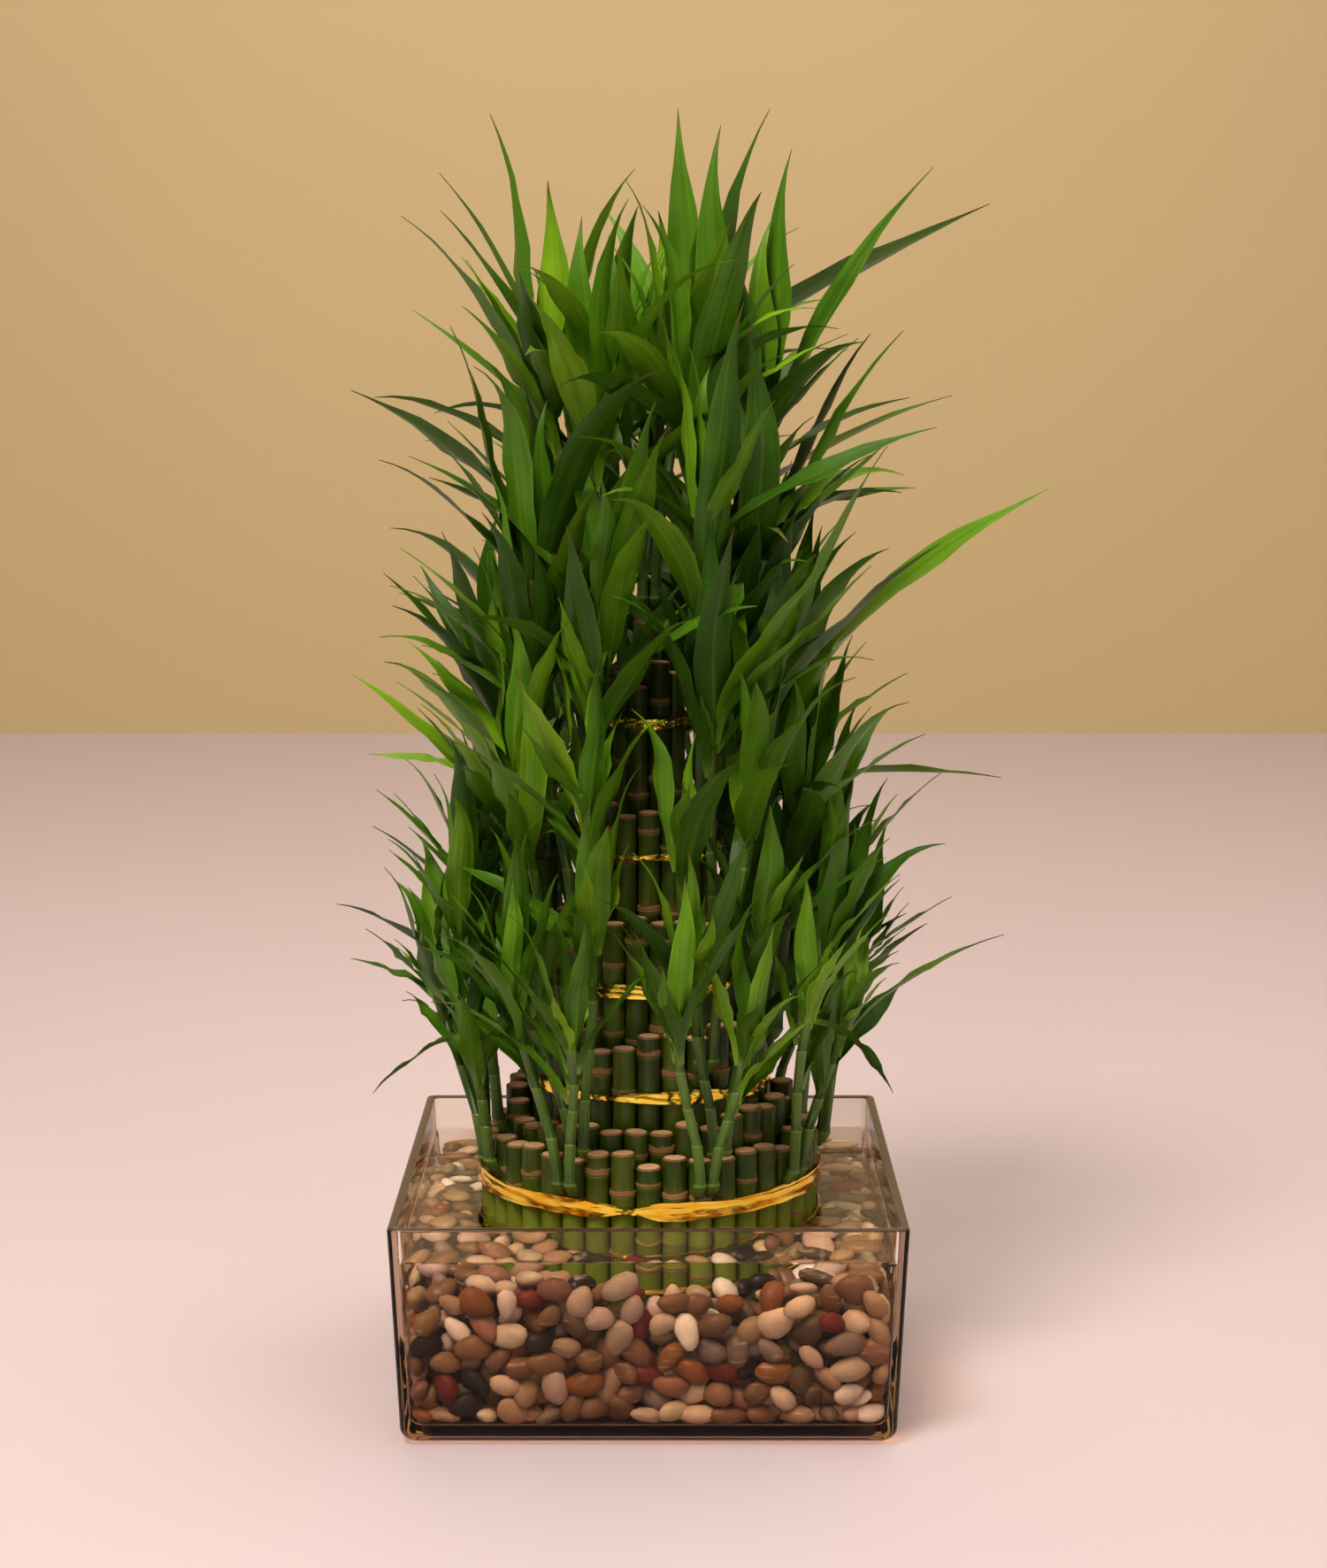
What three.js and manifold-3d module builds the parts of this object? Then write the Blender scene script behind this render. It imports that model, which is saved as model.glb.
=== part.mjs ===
// Lucky bamboo in a low square glass bowl.
//
// A stepped bundle of cut canes stands on the floor of the bowl. Pebbles and
// water hold it below, foil ribbons tie it above, and every row of canes
// carries leafy shoots. Millimetres, +Z up, the front of the bowl towards -Y,
// the origin at the centre of the bowl's flat underside.

import * as THREE from 'three';
import * as BufferGeometryUtils from 'three/addons/utils/BufferGeometryUtils.js';
import Module from 'manifold-3d';

const wasm = await Module();
wasm.setup();

// Driving dimensions

const GAP = 0.35; // clearance between pieces that touch

const BOWL = {
  halfWidth: 125, // outer, at the rim
  footHalfWidth: 120, // outer, where the sides meet the rounded foot
  height: 110,
  wall: 4.6,
  floor: 8,
  footRadius: 9, // rounding where the sides turn under
  cornerRadius: 6, // rounding of the upright corners
  rimRadius: 1.4,
  cornerSteps: 3,
};

const WATER_LEVEL = 92;
const PEBBLE_LEVEL = 80; // of the bed's own core; pebbles stand out of it
const PEBBLE_TOP = 86;
const BUNDLE_HOLE_RADIUS = 91; // plain hole for the canes in bed and water
const HOLE_SIDES = 32;

const CANE = {
  radius: 7, // to the corners of a five-sided cane, one of them outwards
  flare: 0.1, // the cut end is a little wider
  sides: 5,
  overlap: 0.12, // how far neighbours in a row sink into each other
  unevenness: 2.2, // how far cut ends differ within a row
};

// Rows of canes from the outside in. Each spray is one bud with two stems.
const ROWS = [
  { ring: 81, canes: 40, top: 130, sprays: 9, rise: [48, 84], lean: [12, 22], blade: [64, 98] },
  { ring: 68, canes: 34, top: 144, sprays: 7, rise: [72, 112], lean: [8, 20], blade: [82, 118] },
  { ring: 55, canes: 28, top: 187, sprays: 6, rise: [88, 130], lean: [8, 24], blade: [94, 128] },
  { ring: 42, canes: 22, top: 241, sprays: 5, rise: [92, 138], lean: [12, 28], blade: [102, 136] },
  { ring: 29, canes: 16, top: 298, sprays: 4, rise: [98, 140], lean: [14, 30], blade: [110, 146] },
  { ring: 14, canes: 8, top: 362, sprays: 3, rise: [96, 138], lean: [10, 26], blade: [116, 150] },
  { ring: 0, canes: 1, top: 410, sprays: 1, rise: [92, 108], lean: [4, 10], blade: [108, 132] },
];

const STEM = {
  footRadius: 3.4,
  topRadius: 2.8,
  sides: 5,
  rings: [0, 0.42, 0.72, 0.86, 1], // shares of the stem's length
  bladeRings: [3, 4], // blades grow from the bands under these rings, and from the top
  budDepth: 9, // how far under the cut end the bud sits
  clearance: 1.7, // kept round a stem
};

const BLADE = {
  perStem: 5,
  aspect: 0.155, // greatest width over length
  keel: 0.8, // depth of the midrib under the blade
  fold: 0.13, // angle of each half above flat, radians
  wave: 1.1, // height of the waved edge
  steepest: 1.2, // rise at the root, so that a blade leaves its stem
  goldenTurn: 2.39996, // turn from one blade to the next up the stem
  lowestRise: 0.62,
  riseStep: 0.19,
  longStations: [0.22, 0.5, 0.78],
  shortStations: [0.3, 0.68],
  clearance: 2.0, // kept on both faces
  beside: 1.2, // kept past both edges and the tip
  mostTwist: 0.8, // between a blade and the side of the stem that it grows from
  rootInset: 0.15, // share by which a tested root is narrower than the grown one
  tries: 120,
};

// Ties from the water upwards: inner radius, height of the middle, half width.
const TIES = [
  { name: 'ribbon_tie_1', radius: 88.4, middle: 107.3, half: 4.6, sides: 26 },
  { name: 'ribbon_tie_2', radius: 62.4, middle: 157, half: 4.0, sides: 20 },
  { name: 'ribbon_tie_3', radius: 49.4, middle: 208, half: 3.4, sides: 16 },
  { name: 'ribbon_tie_4', radius: 36.4, middle: 274, half: 3.2, sides: 12 },
  { name: 'ribbon_tie_5', radius: 21.7, middle: 339, half: 2.8, sides: 10 },
];
const RIBBON_THICKNESS = 0.9;
const RIBBON_CRINKLE = 0.5;
const KNOT_ANGLE = -1.68; // the knot of the lowest tie, just left of the front
const SUBMERGED_TIE = { name: 'ribbon_tie_low', radius: 88.4, middle: 74, slant: 6, half: 1.7, sides: 26 };

const PEBBLE = {
  pitch: 42,
  courses: 3,
  length: 14.8,
  width: 10.8,
  depth: 8,
  crown: 0.58, // of its flattened top, as a share of its length and width
};

// Long blades that stand out of the outline: the row that bears each one and
// where its tip is, in millimetres.
const REACHING_BLADES = [
  { row: 6, tip: [13, 2, 643] },
  { row: 6, tip: [58, 6, 640] },
  { row: 5, tip: [37, -24, 633] },
  { row: 5, tip: [69, 18, 624] },
  { row: 5, tip: [-76, -6, 637] },
  { row: 5, tip: [-100, -22, 609] },
  { row: 5, tip: [-103, 24, 594] },
  { row: 5, tip: [142, 10, 612] },
  { row: 5, tip: [161, -20, 594] },
  { row: 4, tip: [112, 20, 533] },
  { row: 4, tip: [124, -30, 532] },
  { row: 4, tip: [150, 6, 504] },
  { row: 4, tip: [140, -36, 488] },
  { row: 4, tip: [-98, -10, 534] },
  { row: 4, tip: [-148, -12, 504] },
  { row: 4, tip: [-112, 16, 461] },
  { row: 3, tip: [198, -10, 454] },
  { row: 3, tip: [110, -98, 480] },
  { row: 3, tip: [-134, -8, 415] },
  { row: 3, tip: [-130, 26, 399] },
  { row: 2, tip: [-146, -14, 363] },
  { row: 2, tip: [-142, 12, 320] },
  { row: 2, tip: [133, 16, 359] },
  { row: 2, tip: [140, -18, 333] },
  { row: 2, tip: [179, -8, 311] },
  { row: 1, tip: [-136, -16, 304] },
  { row: 1, tip: [151, 20, 308] },
  { row: 1, tip: [-116, 18, 264] },
  { row: 0, tip: [154, -6, 246] },
  { row: 0, tip: [178, -28, 233] },
  { row: 0, tip: [133, 24, 226] },
  { row: 0, tip: [-152, -18, 217] },
  { row: 0, tip: [-133, 20, 221] },
  { row: 0, tip: [-141, -30, 152] },
  { row: 0, tip: [122, -26, 157] },
  { row: 4, tip: [2, -96, 500] },
  { row: 4, tip: [46, -84, 548] },
  { row: 3, tip: [-36, -112, 446] },
  { row: 3, tip: [86, -104, 424] },
  { row: 2, tip: [-60, -120, 372] },
  { row: 2, tip: [18, -98, 322] },
  { row: 1, tip: [48, -128, 300] },
  { row: 1, tip: [-44, -124, 262] },
  { row: 0, tip: [52, -142, 226] },
  { row: 0, tip: [-58, -140, 230] },
];

const COLOURS = {
  glass: 0x9a8d80,
  water: 0xb9b3a4,
  pebble: 0xb79c80,
  cane: 0x4a6b24,
  leaf: 0x3c7a1d,
  foil: 0xe0a020,
};

// Repeatable random draws

const DRAW_MODULUS = 2147483647;
const DRAW_FACTOR = 16807;

class Draws {
  constructor(seed) {
    this.state = 1 + ((seed * 104729 * 31) % (DRAW_MODULUS - 1));
    for (let i = 0; i < 3; i++) this.next();
  }

  next() {
    this.state = (this.state * DRAW_FACTOR) % DRAW_MODULUS;
    return this.state / DRAW_MODULUS;
  }

  between(low, high) {
    return low + (high - low) * this.next();
  }

  sway(width) {
    return this.between(-width, width);
  }
}

const SEEDS = { cut: 11, stem: 400, blade: 3000, pebble: 77, ribbon: 55 };

// Solids

const COARSENESS = 0.05; // slivers thinner than this are merged away

function toManifold(geometry) {
  const bare = geometry.index ? geometry.toNonIndexed() : geometry.clone();
  bare.deleteAttribute('normal');
  bare.deleteAttribute('uv');
  const merged = BufferGeometryUtils.mergeVertices(bare, 1e-4);
  return new wasm.Manifold(
    new wasm.Mesh({
      numProp: 3,
      vertProperties: new Float32Array(merged.attributes.position.array),
      triVerts: new Uint32Array(merged.index.array),
    }),
  );
}

function toGeometry(solid) {
  const mesh = solid.asOriginal().simplify(COARSENESS).getMesh();
  const geometry = new THREE.BufferGeometry();
  geometry.setAttribute('position', new THREE.BufferAttribute(new Float32Array(mesh.vertProperties), 3));
  geometry.setIndex(new THREE.BufferAttribute(new Uint32Array(mesh.triVerts), 1));
  geometry.computeVertexNormals();
  return geometry;
}

function fuse(solids) {
  return solids.reduce((whole, solid) => whole.add(solid));
}

function geometryFromFaces(points, faces) {
  const geometry = new THREE.BufferGeometry();
  geometry.setAttribute('position', new THREE.Float32BufferAttribute(points.flat(), 3));
  geometry.setIndex(faces.flat());
  return geometry;
}

function uprightPrism(radius, from, to, sides) {
  const geometry = new THREE.CylinderGeometry(radius, radius, to - from, sides);
  geometry.rotateX(Math.PI / 2);
  geometry.translate(0, 0, (from + to) / 2);
  return geometry;
}

function makeMesh(name, geometry, colour, roughness, metalness = 0, opacity = 1) {
  const material = new THREE.MeshStandardMaterial({ color: colour, roughness, metalness });
  material.transparent = opacity < 1;
  material.opacity = opacity;
  const mesh = new THREE.Mesh(geometry, material);
  mesh.name = name;
  return mesh;
}

// A square loop with rounded corners, anticlockwise from above

function squareLoop(half, corner, z) {
  const points = [];
  for (let quarter = 0; quarter < 4; quarter++) {
    const turn = (quarter * Math.PI) / 2;
    for (let step = 0; step <= BOWL.cornerSteps; step++) {
      const angle = turn + (step / BOWL.cornerSteps) * (Math.PI / 2);
      const centre = half - corner;
      const signX = Math.sign(Math.cos(turn + Math.PI / 4));
      const signY = Math.sign(Math.sin(turn + Math.PI / 4));
      points.push([signX * centre + corner * Math.cos(angle), signY * centre + corner * Math.sin(angle), z]);
    }
  }
  return points;
}

// A closed solid through a stack of loops with flat ends

function loft(loops) {
  const count = loops[0].length;
  const points = loops.flat();
  const faces = [];
  for (let level = 0; level + 1 < loops.length; level++) {
    for (let i = 0; i < count; i++) {
      const next = (i + 1) % count;
      const a = level * count + i;
      const b = level * count + next;
      faces.push([a, b, b + count], [a, b + count, a + count]);
    }
  }
  const last = (loops.length - 1) * count;
  for (let i = 1; i + 1 < count; i++) {
    faces.push([0, i + 1, i], [last, last + i, last + i + 1]);
  }
  return geometryFromFaces(points, faces);
}

// The bowl

function outerHalfWidth(z) {
  const share = (z - BOWL.footRadius) / (BOWL.height - BOWL.footRadius);
  return BOWL.footHalfWidth + (BOWL.halfWidth - BOWL.footHalfWidth) * share;
}

function innerHalfWidth(z) {
  return outerHalfWidth(z) - BOWL.wall;
}

function glassBowl() {
  const { height, wall, floor, footRadius, cornerRadius, rimRadius } = BOWL;
  const insideCorner = cornerRadius - 1.5;
  const slope = Math.sin(Math.PI / 4);
  const foot = outerHalfWidth(footRadius);
  const insideFoot = innerHalfWidth(floor + footRadius / 2);
  const loops = [
    squareLoop(foot - footRadius, cornerRadius, 0),
    squareLoop(foot - footRadius * (1 - slope), cornerRadius, footRadius * (1 - slope)),
    squareLoop(foot, cornerRadius, footRadius),
    squareLoop(BOWL.halfWidth, cornerRadius, height - rimRadius),
    squareLoop(BOWL.halfWidth - rimRadius, cornerRadius, height),
    squareLoop(BOWL.halfWidth - wall + rimRadius, insideCorner, height),
    squareLoop(BOWL.halfWidth - wall, insideCorner, height - rimRadius),
    squareLoop(insideFoot, insideCorner, floor + footRadius / 2),
    squareLoop(insideFoot - footRadius / 2, insideCorner, floor),
  ];
  return makeMesh('glass_bowl', loft(loops), COLOURS.glass, 0.05, 0, 0.35);
}

// What fills the bowl

function filling(from, to, inset) {
  const insideCorner = BOWL.cornerRadius - 1.5;
  const foot = BOWL.floor + BOWL.footRadius / 2 + GAP;
  const loops = [];
  if (from < foot) {
    loops.push(squareLoop(innerHalfWidth(foot) - BOWL.footRadius / 2 - inset, insideCorner, from));
    loops.push(squareLoop(innerHalfWidth(foot) - inset, insideCorner, foot));
  } else {
    loops.push(squareLoop(innerHalfWidth(from) - inset, insideCorner, from));
  }
  loops.push(squareLoop(innerHalfWidth(to) - inset, insideCorner, to));
  return toManifold(loft(loops));
}

function bundleHole() {
  return toManifold(uprightPrism(BUNDLE_HOLE_RADIUS, -BOWL.height, 2 * BOWL.height, HOLE_SIDES));
}

function water() {
  const solid = filling(PEBBLE_TOP + GAP, WATER_LEVEL, GAP).subtract(bundleHole());
  return makeMesh('water', toGeometry(solid), COLOURS.water, 0.02, 0, 0.4);
}

// A pebble is a stone of a few faces: six corners round its middle, three on top

function stoneGeometry() {
  const points = [];
  for (let i = 0; i < 6; i++) points.push(polar(1, (i * Math.PI) / 3, 0));
  for (let i = 0; i < 3; i++) points.push(polar(PEBBLE.crown, ((i + 0.25) * 2 * Math.PI) / 3, 1));
  const faces = [[0, 5, 4], [0, 4, 3], [0, 3, 2], [0, 2, 1], [6, 7, 8]];
  for (let i = 0; i < 3; i++) {
    const [first, second, third] = [2 * i, 2 * i + 1, (2 * i + 2) % 6];
    const [top, next] = [6 + i, 6 + ((i + 1) % 3)];
    faces.push([first, second, top], [second, third, next], [second, next, top]);
  }
  return geometryFromFaces(points, faces);
}

function pebble(draws, place, facing) {
  const geometry = stoneGeometry();
  const size = draws.between(0.86, 1.06);
  geometry.scale(PEBBLE.length * size, PEBBLE.width * size, PEBBLE.depth);
  geometry.rotateZ(draws.sway(0.5));
  geometry.applyQuaternion(new THREE.Quaternion().setFromUnitVectors(new THREE.Vector3(0, 0, 1), facing));
  geometry.translate(...place);
  return toManifold(geometry);
}

function sidePebbles(draws) {
  const stones = [];
  const spread = 2 * (BOWL.footHalfWidth - BOWL.wall) - PEBBLE.length;
  const perCourse = Math.round(spread / PEBBLE.pitch);
  const courseHeight = (PEBBLE_TOP - BOWL.floor - 2) / PEBBLE.courses;
  for (let side = 0; side < 4; side++) {
    const turn = (side * Math.PI) / 2;
    const facing = new THREE.Vector3(Math.cos(turn), Math.sin(turn), 0);
    for (let course = 0; course < PEBBLE.courses; course++) {
      const z = BOWL.floor + 1 + (course + 0.5) * courseHeight;
      for (let i = 0; i < perCourse; i++) {
        const along = ((i + 0.5 + 0.5 * (course % 2)) / perCourse - 0.5) * spread + draws.sway(2);
        const out = innerHalfWidth(z) - PEBBLE.depth - 0.9;
        const x = facing.x * out - facing.y * along;
        const y = facing.y * out + facing.x * along;
        stones.push(pebble(draws, [x, y, z + draws.sway(1.2)], facing));
      }
    }
  }
  return stones;
}

function topPebbles(draws) {
  const stones = [];
  const up = new THREE.Vector3(0, 0, 1);
  const reach = innerHalfWidth(PEBBLE_TOP) - PEBBLE.length;
  const across = Math.round((2 * reach) / PEBBLE.pitch);
  const step = (2 * reach) / across;
  for (let i = 0; i <= across; i++) {
    for (let j = 0; j <= across; j++) {
      const x = -reach + i * step + draws.sway(2);
      const y = -reach + j * step + draws.sway(2);
      if (Math.hypot(x, y) < BUNDLE_HOLE_RADIUS + PEBBLE.length * 0.35) continue;
      stones.push(pebble(draws, [x, y, PEBBLE_TOP - PEBBLE.depth], up));
    }
  }
  return stones;
}

function pebbleBed() {
  const draws = new Draws(SEEDS.pebble);
  const core = filling(BOWL.floor + GAP, PEBBLE_LEVEL, PEBBLE.depth * 0.8);
  const stones = fuse([...sidePebbles(draws), ...topPebbles(draws)]);
  const room = filling(BOWL.floor + GAP, PEBBLE_TOP, GAP);
  const solid = core.add(stones).intersect(room).subtract(bundleHole());
  return makeMesh('pebble_bed', toGeometry(solid), COLOURS.pebble, 0.6);
}

// Canes

function caneAngle(row, index) {
  const stagger = ROWS.indexOf(row) % 2 ? 0.5 : 0;
  return ((index + stagger) / row.canes) * 2 * Math.PI - Math.PI / 2;
}

function caneTops() {
  const draws = new Draws(SEEDS.cut);
  return ROWS.map((row) => {
    const tops = [];
    for (let i = 0; i < row.canes; i++) tops.push(row.top + draws.sway(CANE.unevenness));
    return tops;
  });
}

// The radius at which the side corners of neighbouring canes just meet

function caneRadius(row) {
  if (row.canes === 1) return CANE.radius;
  const half = Math.tan(Math.PI / row.canes);
  const corner = (2 * Math.PI) / CANE.sides;
  return (row.ring * half) / (Math.sin(corner) - half * Math.cos(corner)) + CANE.overlap;
}

function cane(row, angle, top) {
  const { ring } = row;
  const radius = caneRadius(row);
  const bottom = BOWL.floor + GAP;
  const geometry = new THREE.CylinderGeometry(radius + CANE.flare, radius, top - bottom, CANE.sides);
  geometry.rotateX(Math.PI / 2);
  geometry.rotateZ(angle + Math.PI / 2);
  geometry.translate(ring * Math.cos(angle), ring * Math.sin(angle), (top + bottom) / 2);
  return toManifold(geometry);
}

function caneRows(tops) {
  return ROWS.map((row, level) => {
    const canes = tops[level].map((top, i) => cane(row, caneAngle(row, i), top));
    const name = row.canes > 1 ? `cane_row_${level + 1}` : 'cane_centre';
    return makeMesh(name, toGeometry(fuse(canes)), COLOURS.cane, 0.5);
  });
}

// Ribbons

function ribbonHalfWidth(tie, angle) {
  if (tie !== TIES[0]) return tie.half;
  const off = Math.atan2(Math.sin(angle - KNOT_ANGLE), Math.cos(angle - KNOT_ANGLE));
  return tie.half * (1 - 0.7 * Math.exp(-((off / 0.13) ** 2)));
}

function ribbonTie(tie, draws) {
  const sections = [];
  for (let i = 0; i < tie.sides; i++) {
    const angle = (i / tie.sides) * 2 * Math.PI;
    const inner = tie.radius / Math.cos(Math.PI / tie.sides);
    const outer = inner + RIBBON_THICKNESS + draws.between(0, RIBBON_CRINKLE);
    const half = ribbonHalfWidth(tie, angle) * draws.between(0.86, 1);
    const middle = tie.middle + (tie.slant ?? 0) * Math.sin(angle + 0.9) + draws.sway(RIBBON_CRINKLE);
    const [low, high] = [middle - half, middle + half];
    sections.push([
      polar(inner, angle, low),
      polar(outer, angle, low),
      polar(outer, angle, high),
      polar(inner, angle, high),
    ]);
  }
  const faces = [];
  for (let i = 0; i < tie.sides; i++) {
    const next = (i + 1) % tie.sides;
    for (let corner = 0; corner < 4; corner++) {
      const up = (corner + 1) % 4;
      const [a, b, c, d] = [i * 4 + corner, next * 4 + corner, next * 4 + up, i * 4 + up];
      faces.push([a, b, c], [a, c, d]);
    }
  }
  return makeMesh(tie.name, geometryFromFaces(sections.flat(), faces), COLOURS.foil, 0.25, 1);
}

// Shoots: a bud on the cane's outer side, and two stems that part from it

function curve(points) {
  return new THREE.CubicBezierCurve3(...points.map((p) => new THREE.Vector3(...p)));
}

function polar(radius, angle, z) {
  return [radius * Math.cos(angle), radius * Math.sin(angle), z];
}

function budOf(level, spray, tops) {
  const row = ROWS[level];
  const index = Math.floor(((spray + 0.5) * row.canes) / row.sprays);
  return {
    angle: caneAngle(row, index),
    radius: row.ring + caneRadius(row) + CANE.flare + GAP + STEM.footRadius,
    z: tops[level][index] - STEM.budDepth,
  };
}

function stemCurve(level, side, bud, draws) {
  const row = ROWS[level];
  const spread = (side ? 1 : -1) * Math.min((0.45 * Math.PI) / row.sprays, 0.9);
  const angle = bud.angle + spread + draws.sway(0.07);
  const top = bud.z + STEM.budDepth + draws.between(...row.rise);
  const reach = bud.radius + draws.between(...row.lean);
  const height = top - bud.z;
  return curve([
    polar(bud.radius, bud.angle, bud.z),
    polar(bud.radius + 1.5, bud.angle + spread * 0.35, bud.z + height * 0.3),
    polar(reach - (reach - bud.radius) * 0.45, angle, top - height * 0.35),
    polar(reach, angle, top),
  ]);
}

function stemRadius(share) {
  return STEM.footRadius + (STEM.topRadius - STEM.footRadius) * share;
}

// Angle of a stem's corner: each ring is turned half a step from the last, so
// that the sides are triangles, and a blade can grow out of any one of them

function cornerAngle(stem, ring, corner) {
  return stem.outward + ((corner + 0.5 * (ring % 2)) / STEM.sides) * 2 * Math.PI;
}

function stemRings(stem) {
  return STEM.rings.map((share, ring) => {
    const corners = Array.from({ length: STEM.sides }, (_, corner) => corner);
    return corners.map((corner) => onStem(stem, share, cornerAngle(stem, ring, corner)).toArray());
  });
}

function onStem(stem, share, angle) {
  const centre = stem.path.getPoint(share);
  const radius = stemRadius(share);
  return new THREE.Vector3(centre.x + radius * Math.cos(angle), centre.y + radius * Math.sin(angle), centre.z);
}

// The triangles that blades can grow from: two corners above, one below

function bladeSites(stem) {
  const sites = [];
  for (const ring of STEM.bladeRings) {
    for (let corner = 0; corner < STEM.sides; corner++) {
      const angle = cornerAngle(stem, ring, corner + 0.5);
      const root = onStem(stem, (STEM.rings[ring - 1] + 2 * STEM.rings[ring]) / 3, angle);
      const below = onStem(stem, STEM.rings[ring - 1], angle);
      const left = onStem(stem, STEM.rings[ring], cornerAngle(stem, ring, corner));
      const right = onStem(stem, STEM.rings[ring], cornerAngle(stem, ring, corner + 1));
      sites.push({ ring, corner, angle, root, below, left, right });
    }
  }
  const last = STEM.rings.length - 1;
  const [below, right, left] = [0, 2, 3].map((corner) => onStem(stem, 1, cornerAngle(stem, last, corner)));
  const root = stem.path.getPoint(1);
  sites.push({ ring: last + 1, corner: 0, angle: stem.outward, root, below, left, right });
  return sites;
}

function siteCorners({ ring, corner }) {
  const at = (level, index) => level * STEM.sides + (index % STEM.sides);
  if (ring === STEM.rings.length) return [at(ring - 1, 0), at(ring - 1, 2), at(ring - 1, 3)];
  const below = ring % 2 ? corner + 1 : corner;
  return [at(ring - 1, below), at(ring, corner + 1), at(ring, corner)];
}

// One stem with its blades, as a single closed skin

function shootSolid(stem) {
  const points = stemRings(stem).flat();
  const taken = new Map(stem.blades.map((blade) => [siteCorners(blade.site).join(), blade]));
  const faces = [];
  const { sides } = STEM;
  const at = (ring, corner) => ring * sides + (corner % sides);
  for (let ring = 1; ring < STEM.rings.length; ring++) {
    for (let corner = 0; corner < sides; corner++) {
      const below = ring % 2 ? corner : corner + sides - 1;
      faces.push([at(ring - 1, below), at(ring - 1, below + 1), at(ring, corner)]);
      faces.push(siteCorners({ ring, corner }));
    }
  }
  const last = STEM.rings.length - 1;
  faces.push([0, 2, 1], [0, 3, 2], [0, 4, 3]);
  faces.push([at(last, 0), at(last, 1), at(last, 2)], [at(last, 0), at(last, 2), at(last, 3)]);
  faces.push([at(last, 0), at(last, 3), at(last, 4)]);
  const skin = faces.filter((face) => !taken.has(face.join()));
  for (const [corners, blade] of taken) addBlade(points, skin, corners.split(',').map(Number), blade);
  return toManifold(geometryFromFaces(points, skin));
}

// Two triangles over four corners, split along the diagonal that lies further
// out, so that a thin blade never turns through itself

function outwardPair(points, corners) {
  const [a, b, c, d] = corners.map((corner) => new THREE.Vector3(...points[corner]));
  const out = c.clone().sub(a).cross(d.clone().sub(b));
  const ridge = a.add(c).sub(b.add(d)).dot(out);
  const [p, q, r, s] = corners;
  return ridge > 0 ? [[p, q, r], [p, r, s]] : [[p, q, s], [q, r, s]];
}

function addBlade(points, faces, root, blade) {
  let from = root;
  for (const share of blade.stations) {
    const { left, right, keel } = bladeSection(blade, share);
    const first = points.length;
    points.push(keel.toArray(), right.toArray(), left.toArray());
    const to = [first, first + 1, first + 2];
    for (let i = 0; i < 3; i++) {
      const next = (i + 1) % 3;
      faces.push(...outwardPair(points, [from[i], from[next], to[next], to[i]]));
    }
    from = to;
  }
  const tip = points.length;
  points.push(blade.spine.getPoint(1).toArray());
  for (let i = 0; i < 3; i++) faces.push([from[i], from[(i + 1) % 3], tip]);
}

// Blades

function direction(heading, rise) {
  return new THREE.Vector3(
    Math.cos(heading) * Math.cos(rise),
    Math.sin(heading) * Math.cos(rise),
    Math.sin(rise),
  );
}

function bladeSpine(root, heading, rise, length, droop, curl) {
  const tip = root.clone().addScaledVector(direction(heading, rise), length);
  const start = direction(heading - curl, Math.min(rise + 0.35, BLADE.steepest));
  const end = direction(heading + curl, rise - droop);
  return new THREE.CubicBezierCurve3(
    root,
    root.clone().addScaledVector(start, length * 0.36),
    tip.clone().addScaledVector(end, -length * 0.36),
    tip,
  );
}

function halfWidthShare(share) {
  return 4.126 * share ** 0.85 * (1 - share) ** 1.25;
}

// The left edge, middle, right edge and keel at a share of the blade's length,
// with the direction that the upper face looks in

function bladeSection(blade, share) {
  const middle = blade.spine.getPoint(share);
  const along = blade.spine.getTangent(share);
  const level = new THREE.Vector3(-Math.sin(blade.heading), Math.cos(blade.heading), 0);
  const across = level.addScaledVector(along, -level.dot(along)).normalize();
  const facing = along.clone().cross(across);
  const roll = blade.roll * share;
  const side = across.clone().multiplyScalar(Math.cos(roll)).addScaledVector(facing, Math.sin(roll));
  const face = facing.clone().multiplyScalar(Math.cos(roll)).addScaledVector(across, -Math.sin(roll));
  const half = 0.5 * blade.width * halfWidthShare(share);
  const edge = (sign) => {
    const wave = BLADE.wave * Math.sin(blade.ripple * share + sign * blade.phase) * halfWidthShare(share);
    return middle
      .clone()
      .addScaledVector(side, sign * half * Math.cos(BLADE.fold))
      .addScaledVector(face, half * Math.sin(BLADE.fold) + wave);
  };
  const keel = middle.clone().addScaledVector(face, -BLADE.keel * (1.3 - share));
  return { left: edge(-1), middle, right: edge(1), keel, face };
}

// Crossing tests between thin sheets, so that every blade is bent clear

function quadSheet(rows) {
  const triangles = [];
  const edges = [];
  const at = (row, j) => row[Math.min(j, row.length - 1)];
  for (let i = 0; i + 1 < rows.length; i++) {
    const [from, to] = [rows[i], rows[i + 1]];
    const width = Math.max(from.length, to.length);
    for (let j = 0; j < width; j++) {
      edges.push([at(from, j), at(to, j)]);
      if (j + 1 === width) continue;
      const [a, b, c, d] = [at(from, j), at(from, j + 1), at(to, j + 1), at(to, j)];
      if (from.length > 1) triangles.push([a, b, c]);
      if (to.length > 1) triangles.push([a, c, d]);
      edges.push([a, c]);
      if (i > 0) edges.push([a, b]);
    }
  }
  return { triangles, edges };
}

function boxed(points) {
  return { points, box: new THREE.Box3().setFromPoints(points) };
}

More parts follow.
